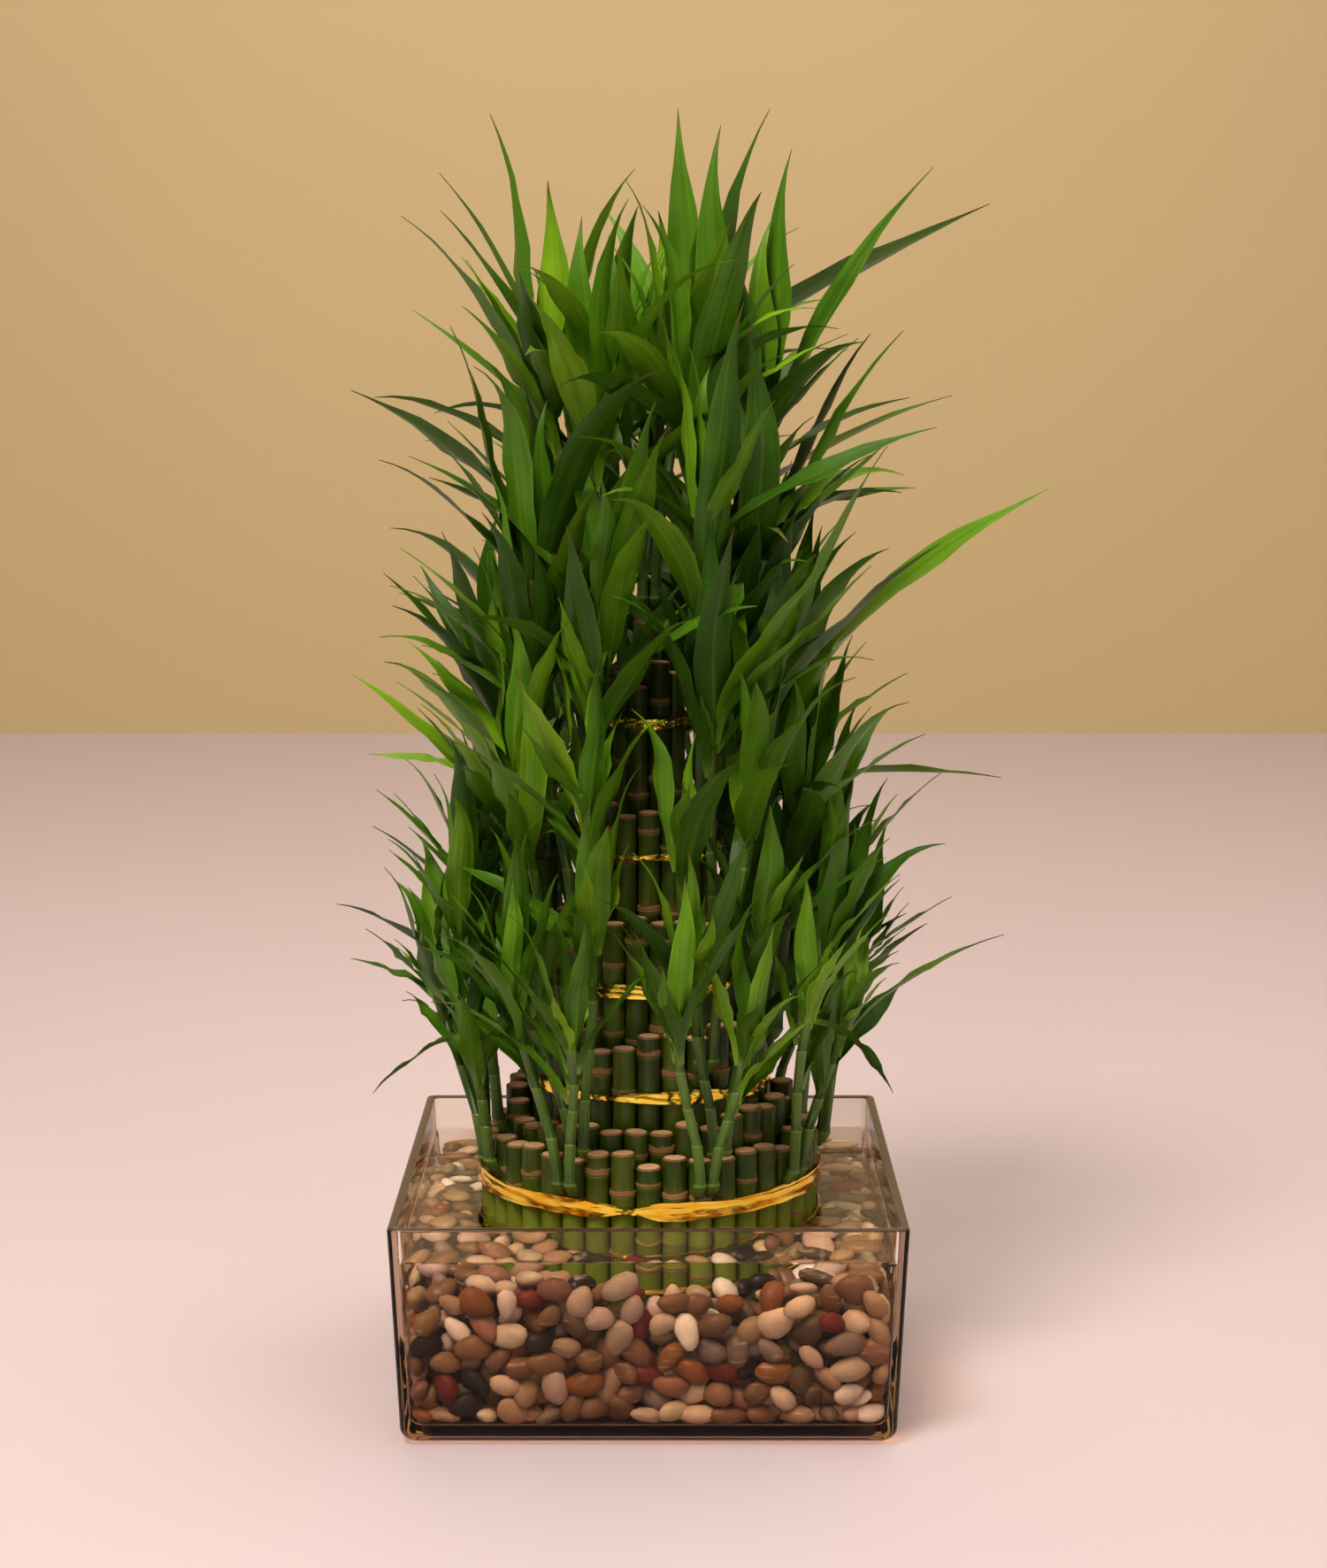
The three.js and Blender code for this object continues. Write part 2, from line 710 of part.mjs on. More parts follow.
function sheetOf(parts) {
  const triangles = parts.flatMap((part) => part.triangles);
  const edges = parts.flatMap((part) => part.edges);
  return { triangles: triangles.map(boxed), edges: edges.map(boxed), box: boxed(triangles.flat()).box };
}

// The corners of a blade's root, drawn in a little so that neighbours on one
// stem don't meet

function rootCorners({ root, below, left, right }) {
  return [below, left, root, right].map((corner) => corner.clone().lerp(root, BLADE.rootInset));
}

// A grown blade: the stalk between its root and first station, and its face

function bladeSheet(blade) {
  const [below, left, , right] = rootCorners(blade.site);
  const first = bladeSection(blade, blade.stations[0]);
  const stalk = quadSheet([
    [below, right, left, below],
    [first.keel, first.right, first.left, first.keel],
  ]);
  return sheetOf([stalk, bladeFace(blade)]);
}

function bladeFace(blade) {
  const sections = blade.stations.map((share) => bladeSection(blade, share));
  const rows = sections.map((section) => [section.left, section.middle, section.right]);
  return quadSheet([...rows, [blade.spine.getPoint(1)]]);
}

// A loop round three points of a blade, held off its faces and its edges

function sleeveLoop(left, middle, right, bottom, face, off, beside) {
  const side = right.clone().sub(left).normalize();
  const edges = [left.clone().addScaledVector(side, -beside), right.clone().addScaledVector(side, beside)];
  const above = [edges[0], middle, edges[1]].map((p) => p.clone().addScaledVector(face, off));
  const under = [edges[1], bottom, edges[0]].map((p) => p.clone().addScaledVector(face, -off));
  return [...above, ...under, above[0]];
}

// The closed sleeve that a new blade needs for itself. It is bare at the root
// where the blade is compared with others on its own stem.

function bladeSleeve(blade, bare) {
  const [below, left, root, right] = rootCorners(blade.site);
  const { face } = bladeSection(blade, blade.stations[0]);
  const [off, beside] = bare ? [0, 0] : [BLADE.clearance, BLADE.beside];
  const rows = [sleeveLoop(left, root, right, below, face, off, beside)];
  for (const share of blade.stations) {
    const at = bladeSection(blade, share);
    rows.push(sleeveLoop(at.left, at.middle, at.right, at.middle, at.face, BLADE.clearance, BLADE.beside));
  }
  const tip = blade.spine.getPoint(1).addScaledVector(blade.spine.getTangent(1), BLADE.beside);
  return sheetOf([quadSheet([...rows, [tip]])]);
}

// A closed sleeve round a stem, with a pointed cap

function stemSleeve(path) {
  const rows = STEM.rings.map((share) => {
    const centre = path.getPoint(share);
    const radius = stemRadius(share) + STEM.clearance;
    return Array.from({ length: STEM.sides + 1 }, (_, corner) => {
      const [x, y] = polar(radius, (corner / STEM.sides) * 2 * Math.PI, 0);
      return new THREE.Vector3(centre.x + x, centre.y + y, centre.z);
    });
  });
  const cap = path.getPoint(1);
  cap.z += STEM.clearance;
  return sheetOf([quadSheet([...rows, [cap]])]);
}

function segmentCrosses([p, q], [a, b, c]) {
  const ray = q.clone().sub(p);
  const ab = b.clone().sub(a);
  const ac = c.clone().sub(a);
  const h = ray.clone().cross(ac);
  const det = ab.dot(h);
  if (Math.abs(det) < 1e-9) return false;
  const s = p.clone().sub(a);
  const u = s.dot(h) / det;
  const k = s.cross(ab);
  const v = ray.dot(k) / det;
  const t = ac.dot(k) / det;
  return u >= 0 && v >= 0 && u + v <= 1 && t >= 0 && t <= 1;
}

function edgesHit(one, two) {
  const edges = one.edges.filter(({ box }) => box.intersectsBox(two.box));
  const triangles = two.triangles.filter(({ box }) => box.intersectsBox(one.box));
  const meets = (edge, tri) => edge.box.intersectsBox(tri.box) && segmentCrosses(edge.points, tri.points);
  return edges.some((edge) => triangles.some((tri) => meets(edge, tri)));
}

function sheetsCross(one, two) {
  return one.box.intersectsBox(two.box) && (edgesHit(one, two) || edgesHit(two, one));
}

function crossesAny(sheet, others) {
  return others.some((other) => sheetsCross(sheet, other.sheet));
}

// How far out the tied canes reach at a height

function bundleRadius(z) {
  const standing = ROWS.find((row) => row.top + CANE.unevenness + 2 > z);
  return standing ? standing.ring + CANE.radius + 3 : 0;
}

function meetsHolder(blade) {
  const lowest = BOWL.height + 6;
  for (let i = 2; i <= 12; i++) {
    const { left, right } = bladeSection(blade, i / 12);
    for (const point of [left, right]) {
      if (point.z < lowest || Math.hypot(point.x, point.y) < bundleRadius(point.z)) return true;
    }
  }
  return false;
}

// Whether a blade turns back through the stem that it grows on

function meetsOwnStem(blade, stem) {
  const { angle, ring } = blade.site;
  if (ring < STEM.rings.length && turnBetween(angle, blade.heading) > BLADE.mostTwist) return true;
  return sheetsCross(sheetOf([bladeFace(blade)]), stem.sheet);
}

// The layout of all shoots. A stem or blade that would cross another is drawn
// again with more sway, and a blade is left out if it never comes clear.

function growStems(tops, grown) {
  const stems = [];
  ROWS.forEach((row, level) => {
    for (let spray = 0; spray < row.sprays; spray++) {
      const bud = budOf(level, spray, tops);
      for (let side = 0; side < 2; side++) {
        const draws = new Draws(SEEDS.stem + stems.length);
        const stem = { level, spray, blades: [], reaching: 0 };
        const others = grown.filter(({ stem: other }) => other.level !== level || other.spray !== spray);
        for (let attempt = 0; attempt < BLADE.tries; attempt++) {
          stem.path = stemCurve(level, side, bud, draws);
          stem.sheet = stemSleeve(stem.path);
          if (!crossesAny(stem.sheet, others)) break;
        }
        const crown = stem.path.getPoint(1);
        stem.outward = Math.atan2(crown.y, crown.x);
        stem.sites = bladeSites(stem);
        stems.push(stem);
        grown.push({ stem, sheet: stem.sheet });
      }
    }
  });
  return stems;
}

function turnBetween(one, two) {
  return Math.abs(Math.atan2(Math.sin(one - two), Math.cos(one - two)));
}

function freeSite(stem, heading, ring) {
  const free = stem.sites.filter((site) => site.ring === ring && !site.used);
  return free.reduce((best, site) =>
    turnBetween(site.angle, heading) < turnBetween(best.angle, heading) ? site : best,
  );
}

function growBlade(stem, grown, propose) {
  const siblings = grown.filter((other) => other.stem === stem && other.sheet !== stem.sheet);
  const others = grown.filter((other) => other.stem !== stem);
  for (let attempt = 0; attempt < BLADE.tries; attempt++) {
    const blade = propose(attempt / BLADE.tries);
    if (meetsHolder(blade) || meetsOwnStem(blade, stem)) continue;
    if (crossesAny(bladeSleeve(blade, true), siblings)) continue;
    if (crossesAny(bladeSleeve(blade, false), others)) continue;
    blade.site.used = true;
    stem.blades.push(blade);
    grown.push({ stem, sheet: bladeSheet(blade) });
    return;
  }
}

function finishBlade(site, spine, heading, width, stations, draws) {
  return {
    site,
    spine,
    heading,
    width,
    stations,
    roll: draws.sway(0.7),
    ripple: draws.between(9, 15),
    phase: draws.between(0.4, 1.6),
  };
}

function growReachingBlades(stems, grown) {
  REACHING_BLADES.forEach(({ row, tip }, number) => {
    const aim = Math.atan2(tip[1], tip[0]);
    const bearers = stems.filter((stem) => stem.level === row);
    const cost = (stem) => turnBetween(stem.outward, aim) + 0.9 * stem.reaching;
    const stem = bearers.reduce((best, other) => (cost(other) < cost(best) ? other : best));
    const ring = STEM.bladeRings[stem.reaching ? 0 : 1];
    stem.reaching += 1;
    const draws = new Draws(SEEDS.blade + 1000 + number);
    growBlade(stem, grown, (strain) => {
      const target = new THREE.Vector3(...tip);
      target.x += draws.sway(2 + 8 * strain);
      target.y += draws.sway(4 + 40 * strain);
      target.z += draws.sway(2 + 10 * strain);
      const crown = stem.path.getPoint(1);
      const site = freeSite(stem, Math.atan2(target.y - crown.y, target.x - crown.x), ring);
      const chord = target.clone().sub(site.root);
      const length = chord.length();
      const heading = Math.atan2(chord.y, chord.x);
      const rise = Math.asin(chord.z / length);
      const spine = bladeSpine(site.root, heading, rise, length, draws.between(0.15, 0.5), draws.sway(0.15));
      const width = length * BLADE.aspect * draws.between(0.85, 1);
      return finishBlade(site, spine, heading, width, BLADE.longStations, draws);
    });
  });
}

function growBlades(stems, grown) {
  const { goldenTurn, lowestRise, riseStep } = BLADE;
  stems.forEach((stem, number) => {
    const row = ROWS[stem.level];
    const open = stem.level >= ROWS.length - 2 ? 1 : 0.66;
    const rings = [...STEM.bladeRings, ...STEM.bladeRings, STEM.rings.length];
    rings.sort();
    for (let order = stem.reaching; order < BLADE.perStem; order++) {
      const draws = new Draws(SEEDS.blade + number * BLADE.perStem + order);
      const spiral = ((goldenTurn * (order + number)) % (2 * Math.PI)) - Math.PI;
      growBlade(stem, grown, (strain) => {
        const heading = stem.outward + spiral * open + draws.sway(0.2 + 1.4 * strain);
        const site = freeSite(stem, heading, rings[order]);
        const turned = turnBetween(heading, stem.outward) / Math.PI;
        const lift = 0.45 * turned * (1 - order / BLADE.perStem);
        const rise = lowestRise + riseStep * order + lift + draws.sway(0.12 + 0.35 * strain);
        const length = draws.between(...row.blade) * (1 - 0.04 * order) * (1 - 0.25 * strain);
        const droop = draws.between(0.2, 0.75);
        const spine = bladeSpine(site.root, heading, Math.min(rise, 1.45), length, droop, draws.sway(0.25));
        const stations = order < 1 ? BLADE.longStations : BLADE.shortStations;
        return finishBlade(site, spine, heading, length * BLADE.aspect, stations, draws);
      });
    }
  });
}

function leafyShoots(tops) {
  const grown = [];
  const stems = growStems(tops, grown);
  growReachingBlades(stems, grown);
  growBlades(stems, grown);
  const meshes = [];
  ROWS.forEach((row, level) => {
    for (let spray = 0; spray < row.sprays; spray++) {
      const pair = stems.filter((stem) => stem.level === level && stem.spray === spray);
      const name = `shoots_row_${level + 1}_${String(spray + 1).padStart(2, '0')}`;
      meshes.push(makeMesh(name, toGeometry(fuse(pair.map(shootSolid))), COLOURS.leaf, 0.45));
    }
  });
  return meshes;
}

// The whole

const plant = new THREE.Group();
const tops = caneTops();
const ribbonDraws = new Draws(SEEDS.ribbon);
plant.add(glassBowl(), water(), pebbleBed());
plant.add(...caneRows(tops));
plant.add(...[...TIES, SUBMERGED_TIE].map((tie) => ribbonTie(tie, ribbonDraws)));
plant.add(...leafyShoots(tops));

export default plant;
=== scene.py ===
"""Lucky bamboo in a low square glass bowl: the looks of every piece.

The layout repeats the part's own placing rules, so its lengths are in
millimetres. Meshes are written in metres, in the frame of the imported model.
"""

import logging
import math
from dataclasses import dataclass, field
from enum import Enum
from typing import Callable, Sequence

import bpy
import numpy as np
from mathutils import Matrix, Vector


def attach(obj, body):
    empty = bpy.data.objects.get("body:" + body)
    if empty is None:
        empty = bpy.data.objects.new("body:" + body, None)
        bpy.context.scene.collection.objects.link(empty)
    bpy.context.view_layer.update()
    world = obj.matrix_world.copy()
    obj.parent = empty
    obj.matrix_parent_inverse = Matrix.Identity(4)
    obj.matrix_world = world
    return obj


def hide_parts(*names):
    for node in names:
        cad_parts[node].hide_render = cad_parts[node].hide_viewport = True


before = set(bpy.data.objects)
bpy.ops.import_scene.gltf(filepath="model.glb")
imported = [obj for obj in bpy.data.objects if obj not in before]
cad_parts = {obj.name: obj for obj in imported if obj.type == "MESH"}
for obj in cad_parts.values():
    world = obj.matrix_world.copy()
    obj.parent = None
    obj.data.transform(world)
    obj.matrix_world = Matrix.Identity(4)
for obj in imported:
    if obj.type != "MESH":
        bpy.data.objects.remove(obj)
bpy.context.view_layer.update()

LOG = logging.getLogger("lucky_bamboo")
MM = 0.001
TURN = 2 * math.pi
Points = np.ndarray
Colour = tuple[float, float, float]
Piece = bpy.types.Object
Material = bpy.types.Material
Shader = bpy.types.ShaderNode
Socket = bpy.types.NodeSocket
Input = Socket | float | tuple


# Repeatable random draws


class Draws:
    """A repeatable stream of random draws, the same as the part's own."""

    MODULUS = 2147483647
    FACTOR = 16807

    def __init__(self, seed: int) -> None:
        """Starts the stream.

        Args:
            seed: a whole number that names the stream.
        """
        self.state = 1 + (seed * 104729 * 31) % (self.MODULUS - 1)
        self.skip(3)

    def next(self) -> float:
        """Returns a draw between 0 and 1."""
        self.state = (self.state * self.FACTOR) % self.MODULUS
        return self.state / self.MODULUS

    def skip(self, count: int) -> None:
        """Throws draws away."""
        for _ in range(count):
            self.next()

    def between(self, low: float, high: float) -> float:
        """Returns a draw between two numbers."""
        return low + (high - low) * self.next()

    def sway(self, width: float) -> float:
        """Returns a draw within a width on both sides of 0."""
        return self.between(-width, width)


class Seed(Enum):
    """The first seeds of the streams."""

    CUT = 11
    PEBBLE = 77
    RIBBON = 55
    STRAND = 75
    KNOT = 145
    STEM = 400
    BLADE = 3000
    REACHING = 4000
    CANE_LOOK = 9700
    SHOOT_LOOK = 12000
    FILLING = 13000


class Slot(Enum):
    """The record's material slots."""

    GLASS = "glass"
    WATER = "water"
    PEBBLE = "pebble"
    CANE = "cane"
    LEAF = "leaf"
    FOIL = "foil"


# Sizes shared by several pieces, in millimetres

BOWL_HALF = 125.0
BOWL_FOOT_HALF = 120.0
BOWL_HEIGHT = 110.0
BOWL_WALL = 4.6
BOWL_FLOOR = 8.0
BOWL_FOOT_RADIUS = 9.0
WATER_LEVEL = 92.0
PEBBLE_TOP = 86.0
GAP = 0.35
CANE_CORNER = 7.0
CANE_FLARE = 0.1
CANE_SIDES = 5
CANE_OVERLAP = 0.12
CANE_UNEVENNESS = 2.2


@dataclass(frozen=True)
class Row:
    """One ring of canes and the shoots on it, in millimetres."""

    ring: float
    canes: int
    top: float
    sprays: int
    rise: tuple[float, float]
    lean: tuple[float, float]
    blade: tuple[float, float]


ROWS = (
    Row(81, 40, 130, 9, (48, 84), (12, 22), (64, 98)),
    Row(68, 34, 144, 7, (72, 112), (8, 20), (82, 118)),
    Row(55, 28, 187, 6, (88, 130), (8, 24), (94, 128)),
    Row(42, 22, 241, 5, (92, 138), (12, 28), (102, 136)),
    Row(29, 16, 298, 4, (98, 140), (14, 30), (110, 146)),
    Row(14, 8, 362, 3, (96, 138), (10, 26), (116, 150)),
    Row(0, 1, 410, 1, (92, 108), (4, 10), (108, 132)),
)

# The row of canes and the tip of each long blade that stands out of the outline

REACHING = (
    (6, (13, 2, 643)), (6, (58, 6, 640)), (5, (37, -24, 633)), (5, (69, 18, 624)),
    (5, (-76, -6, 637)), (5, (-100, -22, 609)), (5, (-103, 24, 594)), (5, (142, 10, 612)),
    (5, (161, -20, 594)), (4, (112, 20, 533)), (4, (124, -30, 532)), (4, (150, 6, 504)),
    (4, (140, -36, 488)), (4, (-98, -10, 534)), (4, (-148, -12, 504)), (4, (-112, 16, 461)),
    (3, (198, -10, 454)), (3, (110, -98, 480)), (3, (-134, -8, 415)), (3, (-130, 26, 399)),
    (2, (-146, -14, 363)), (2, (-142, 12, 320)), (2, (133, 16, 359)), (2, (140, -18, 333)),
    (2, (179, -8, 311)), (1, (-136, -16, 304)), (1, (151, 20, 308)), (1, (-116, 18, 264)),
    (0, (154, -6, 246)), (0, (178, -28, 233)), (0, (133, 24, 226)), (0, (-152, -18, 217)),
    (0, (-133, 20, 221)), (0, (-141, -30, 152)), (0, (122, -26, 157)), (4, (2, -96, 500)),
    (4, (46, -84, 548)), (3, (-36, -112, 446)), (3, (86, -104, 424)), (2, (-60, -120, 372)),
    (2, (18, -98, 322)), (1, (48, -128, 300)), (1, (-44, -124, 262)), (0, (52, -142, 226)),
    (0, (-58, -140, 230)),
)


@dataclass(frozen=True)
class StemSizes:
    """Sizes of a shoot's stem, in millimetres."""

    foot_radius: float = 3.4
    top_radius: float = 2.8
    sides: int = 5
    rings: tuple[float, ...] = (0.0, 0.42, 0.72, 0.86, 1.0)
    blade_rings: tuple[int, ...] = (3, 4)
    bud_depth: float = 9.0


@dataclass(frozen=True)
class BladeSizes:
    """Sizes and habits of a blade, in millimetres and radians."""

    per_stem: int = 5
    aspect: float = 0.155
    keel: float = 0.8
    wave: float = 1.1
    steepest: float = 1.2
    climb: float = 0.35
    pull: float = 0.36
    golden_turn: float = 2.39996
    lowest_rise: float = 0.62
    rise_step: float = 0.19
    tries: int = 120
    match: float = 0.02
    tip_sway: tuple[tuple[float, float], ...] = ((2, 8), (4, 40), (2, 10))


STEM = StemSizes()
BLADE = BladeSizes()


# The layout of canes, stems and blades


def cane_angle(level: int, index: int) -> float:
    """Returns the angle of a cane in its ring, the front being -90 degrees."""
    stagger = 0.5 if level % 2 else 0.0
    return ((index + stagger) / ROWS[level].canes) * TURN - math.pi / 2


def bearing_cane(row: Row, spray: int) -> int:
    """Returns which cane of a row a spray grows on."""
    return math.floor(((spray + 0.5) * row.canes) / row.sprays)


def cane_tops() -> list[list[float]]:
    """Returns the height of every cut end, row by row."""
    draws = Draws(Seed.CUT.value)
    return [[row.top + draws.sway(CANE_UNEVENNESS) for _ in range(row.canes)] for row in ROWS]


def cane_corner_radius(row: Row) -> float:
    """Returns the radius to the corners of a cane's solid."""
    if row.canes == 1:
        return CANE_CORNER
    half = math.tan(math.pi / row.canes)
    corner = TURN / CANE_SIDES
    return (row.ring * half) / (math.sin(corner) - half * math.cos(corner)) + CANE_OVERLAP


def outer_half(z: Points | float) -> Points | float:
    """Returns half the outer width of the bowl at a height."""
    return BOWL_FOOT_HALF + (BOWL_HALF - BOWL_FOOT_HALF) * z / BOWL_HEIGHT


def inner_half(z: Points | float) -> Points | float:
    """Returns half the inner width of the bowl at a height."""
    return outer_half(z) - BOWL_WALL


def spray_name(level: int, spray: int) -> str:
    """Returns what the part calls a spray after the word shoots."""
    return f"row_{level + 1}_{spray + 1:02d}"


def stem_radius(share: float) -> float:
    """Returns a stem's radius at a share of its length."""
    return STEM.foot_radius + (STEM.top_radius - STEM.foot_radius) * share


def polar(radius: float, angle: float, z: float) -> Points:
    """Returns a point at a radius, an angle and a height."""
    return np.array([radius * math.cos(angle), radius * math.sin(angle), z])


def unit(vectors: Points) -> Points:
    """Returns vectors at length 1."""
    return vectors / np.linalg.norm(vectors, axis=-1, keepdims=True)


def turn_between(one: float, two: float) -> float:
    """Returns the angle between two headings."""
    return abs(math.atan2(math.sin(one - two), math.cos(one - two)))


def direction(heading: float, rise: float) -> Points:
    """Returns the unit vector with a heading and a rise."""
    level = math.cos(rise)
    return np.array([math.cos(heading) * level, math.sin(heading) * level, math.sin(rise)])


class Spine:
    """A cubic curve from four control points."""

    def __init__(self, points: Sequence[Points]) -> None:
        """Keeps the control points.

        Args:
            points: the four points, in order.
        """
        self.points = np.array(points, float)

    def at(self, share: Points | float) -> Points:
        """Returns the points at shares of the curve."""
        t = np.asarray(share, float)[..., None]
        k = 1 - t
        a, b, c, d = self.points
        return k * k * k * a + 3 * k * k * t * b + 3 * k * t * t * c + t * t * t * d

    def along(self, share: Points | float) -> Points:
        """Returns the directions of travel at shares of the curve."""
        t = np.asarray(share, float)
        return unit(self.at(np.minimum(t + 0.0001, 1.0)) - self.at(np.maximum(t - 0.0001, 0.0)))


def blade_spine(
    root: Points, heading: float, rise: float, length: float, droop: float, curl: float
) -> Spine:
    """Returns the curve of a blade's midrib.

    Args:
        root: where it leaves the stem.
        heading: of its tip as seen from the root.
        rise: of its tip as seen from the root.
        length: straight from root to tip.
        droop: how much the tip turns down.
        curl: how much the blade turns sideways.

    Returns:
        The midrib's curve.
    """
    tip = root + direction(heading, rise) * length
    start = direction(heading - curl, min(rise + BLADE.climb, BLADE.steepest))
    end = direction(heading + curl, rise - droop)
    return Spine([root, root + start * (length * BLADE.pull), tip + end * (-length * BLADE.pull), tip])


@dataclass
class Site:
    """A place on a stem that a blade can grow from."""

    ring: int
    angle: float
    root: Points
    used: bool = False


@dataclass
class Blade:
    """A leaf as the layout places it."""

    spine: Spine
    heading: float
    width: float
    roll: float
    ripple: float
    phase: float
    site: Site | None = None

    def frame_at(self, share: Points) -> tuple[Points, Points, Points]:
        """Returns the middle, the sideways and the facing directions at shares."""
        along = self.spine.along(share)
        level = np.array([-math.sin(self.heading), math.cos(self.heading), 0.0])
        across = unit(level - along * (along @ level)[..., None])
        facing = np.cross(along, across)
        roll = (self.roll * share)[..., None]
        side = across * np.cos(roll) + facing * np.sin(roll)
        face = facing * np.cos(roll) - across * np.sin(roll)
        return self.spine.at(share), side, face


@dataclass
class Stem:
    """A leafy stem: one of the two that part from a bud."""

    number: int
    level: int
    spray: int
    side: int
    bud_angle: float
    path: Spine
    solid: Points
    outward: float = 0.0
    reaching: int = 0
    sites: list[Site] = field(default_factory=list)
    blades: list[Blade] = field(default_factory=list)

    def find_sites(self) -> None:
        """Lists the places that blades can grow from."""
        crown = self.path.at(1.0)
        self.outward = math.atan2(crown[1], crown[0])
        rings = STEM.rings
        for ring in STEM.blade_rings:
            for corner in range(STEM.sides):
                angle = self.outward + ((corner + 0.5 + 0.5 * (ring % 2)) / STEM.sides) * TURN
                share = (rings[ring - 1] + 2 * rings[ring]) / 3
                root = self.path.at(share) + polar(stem_radius(share), angle, 0.0)
                self.sites.append(Site(ring, angle, root))
        self.sites.append(Site(len(rings), self.outward, crown))

    def free_site(self, heading: float, ring: int) -> Site:
        """Returns the free site of a ring that looks most in a direction."""
        free = [site for site in self.sites if site.ring == ring and not site.used]
        return min(free, key=lambda site: turn_between(site.angle, heading))


class PlantLayout:
    """Where every cane, stem and blade stands.

    The part draws a blade again, with more sway, where it would cross
    another, and leaves it out if it never comes clear. Which draw it took is
    seen from the solids: one of their corners is the blade's tip.
    """

    def __init__(self) -> None:
        """Lays everything out by the part's own rules."""
        self.tops = cane_tops()
        self.stems: list[Stem] = []
        self._place_stems()
        self._place_reaching_blades()
        self._place_blades()

    def _place_stems(self) -> None:
        """Places two stems on every bud."""
        for level, row in enumerate(ROWS):
            for spray in range(row.sprays):
                index = bearing_cane(row, spray)
                radius = row.ring + cane_corner_radius(row) + CANE_FLARE + GAP + STEM.foot_radius
                bud = (cane_angle(level, index), radius, self.tops[level][index] - STEM.bud_depth)
                for side in range(2):
                    self._place_stem(level, spray, side, bud)

    def _place_stem(self, level: int, spray: int, side: int, bud: tuple[float, float, float]) -> None:
        """Places one stem.

        Args:
            level: which row of canes bears it.
            spray: number of its bud in the row.
            side: 0 or 1, which way it parts from the bud.
            bud: angle, radius and height of the bud.
        """
        row = ROWS[level]
        bud_angle, bud_radius, bud_z = bud
        number = len(self.stems)
        draws = Draws(Seed.STEM.value + number)
        spread = (1 if side else -1) * min((0.45 * math.pi) / row.sprays, 0.9)
        angle = bud_angle + spread + draws.sway(0.07)
        top = bud_z + STEM.bud_depth + draws.between(*row.rise)
        reach = bud_radius + draws.between(*row.lean)
        height = top - bud_z
        path = Spine(
            [
                polar(bud_radius, bud_angle, bud_z),
                polar(bud_radius + 1.5, bud_angle + spread * 0.35, bud_z + height * 0.3),
                polar(reach - (reach - bud_radius) * 0.45, angle, top - height * 0.35),
                polar(reach, angle, top),
            ]
        )
        solid = points_of(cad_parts[f"shoots_{spray_name(level, spray)}"]) / MM
        stem = Stem(number, level, spray, side, bud_angle, path, solid)
        stem.find_sites()
        self.stems.append(stem)

    @staticmethod
    def _grow_blade(stem: Stem, propose: Callable[[float], Blade]) -> None:
        """Adds the first blade proposed that the stem's solid has too.

        Args:
            stem: what it grows on.
            propose: returns the next blade for the strain reached so far.
        """
        for attempt in range(BLADE.tries):
            blade = propose(attempt / BLADE.tries)
            if np.abs(stem.solid - blade.spine.at(1.0)).max(axis=1).min() < BLADE.match:
                blade.site.used = True
                stem.blades.append(blade)
                return

    @staticmethod
    def _finish_blade(site: Site, spine: Spine, heading: float, width: float, draws: Draws) -> Blade:
        """Returns a blade with its last draws."""
        roll = draws.sway(0.7)
        ripple = draws.between(9, 15)
        return Blade(spine, heading, width, roll, ripple, draws.between(0.4, 1.6), site)

    def _place_reaching_blades(self) -> None:
        """Places the long blades that stand out of the outline."""
        for number, (level, tip) in enumerate(REACHING):
            aim = math.atan2(tip[1], tip[0])
            bearers = [stem for stem in self.stems if stem.level == level]
            stem = min(bearers, key=lambda one: turn_between(one.outward, aim) + 0.9 * one.reaching)
            ring = STEM.blade_rings[0 if stem.reaching else 1]
            stem.reaching += 1
            draws = Draws(Seed.REACHING.value + number)
            self._grow_blade(stem, lambda strain: self._reaching_blade(stem, ring, tip, strain, draws))

    def _reaching_blade(
        self, stem: Stem, ring: int, tip: tuple[float, float, float], strain: float, draws: Draws
    ) -> Blade:
        """Returns a long blade.

        Args:
            stem: what it grows on.
            ring: of the stem, that it grows under.
            tip: where it should end.
            strain: how far it may stray from there, from 0 to 1.
            draws: its own stream.

        Returns:
            The blade.
        """
        target = np.array(tip, float)
        for axis, (least, strained) in enumerate(BLADE.tip_sway):
            target[axis] += draws.sway(least + strained * strain)
        crown = stem.path.at(1.0)
        site = stem.free_site(math.atan2(target[1] - crown[1], target[0] - crown[0]), ring)
        chord = target - site.root
        length = float(np.linalg.norm(chord))
        heading = math.atan2(chord[1], chord[0])
        rise = math.asin(chord[2] / length)
        droop = draws.between(0.15, 0.5)
        spine = blade_spine(site.root, heading, rise, length, droop, draws.sway(0.15))
        width = length * BLADE.aspect * draws.between(0.85, 1)
        return self._finish_blade(site, spine, heading, width, draws)

    def _place_blades(self) -> None:
        """Places the other blades up every stem."""
        for stem in self.stems:
            for order in range(stem.reaching, BLADE.per_stem):
                draws = Draws(Seed.BLADE.value + stem.number * BLADE.per_stem + order)
                self._grow_blade(stem, lambda strain: self._blade(stem, order, strain, draws))

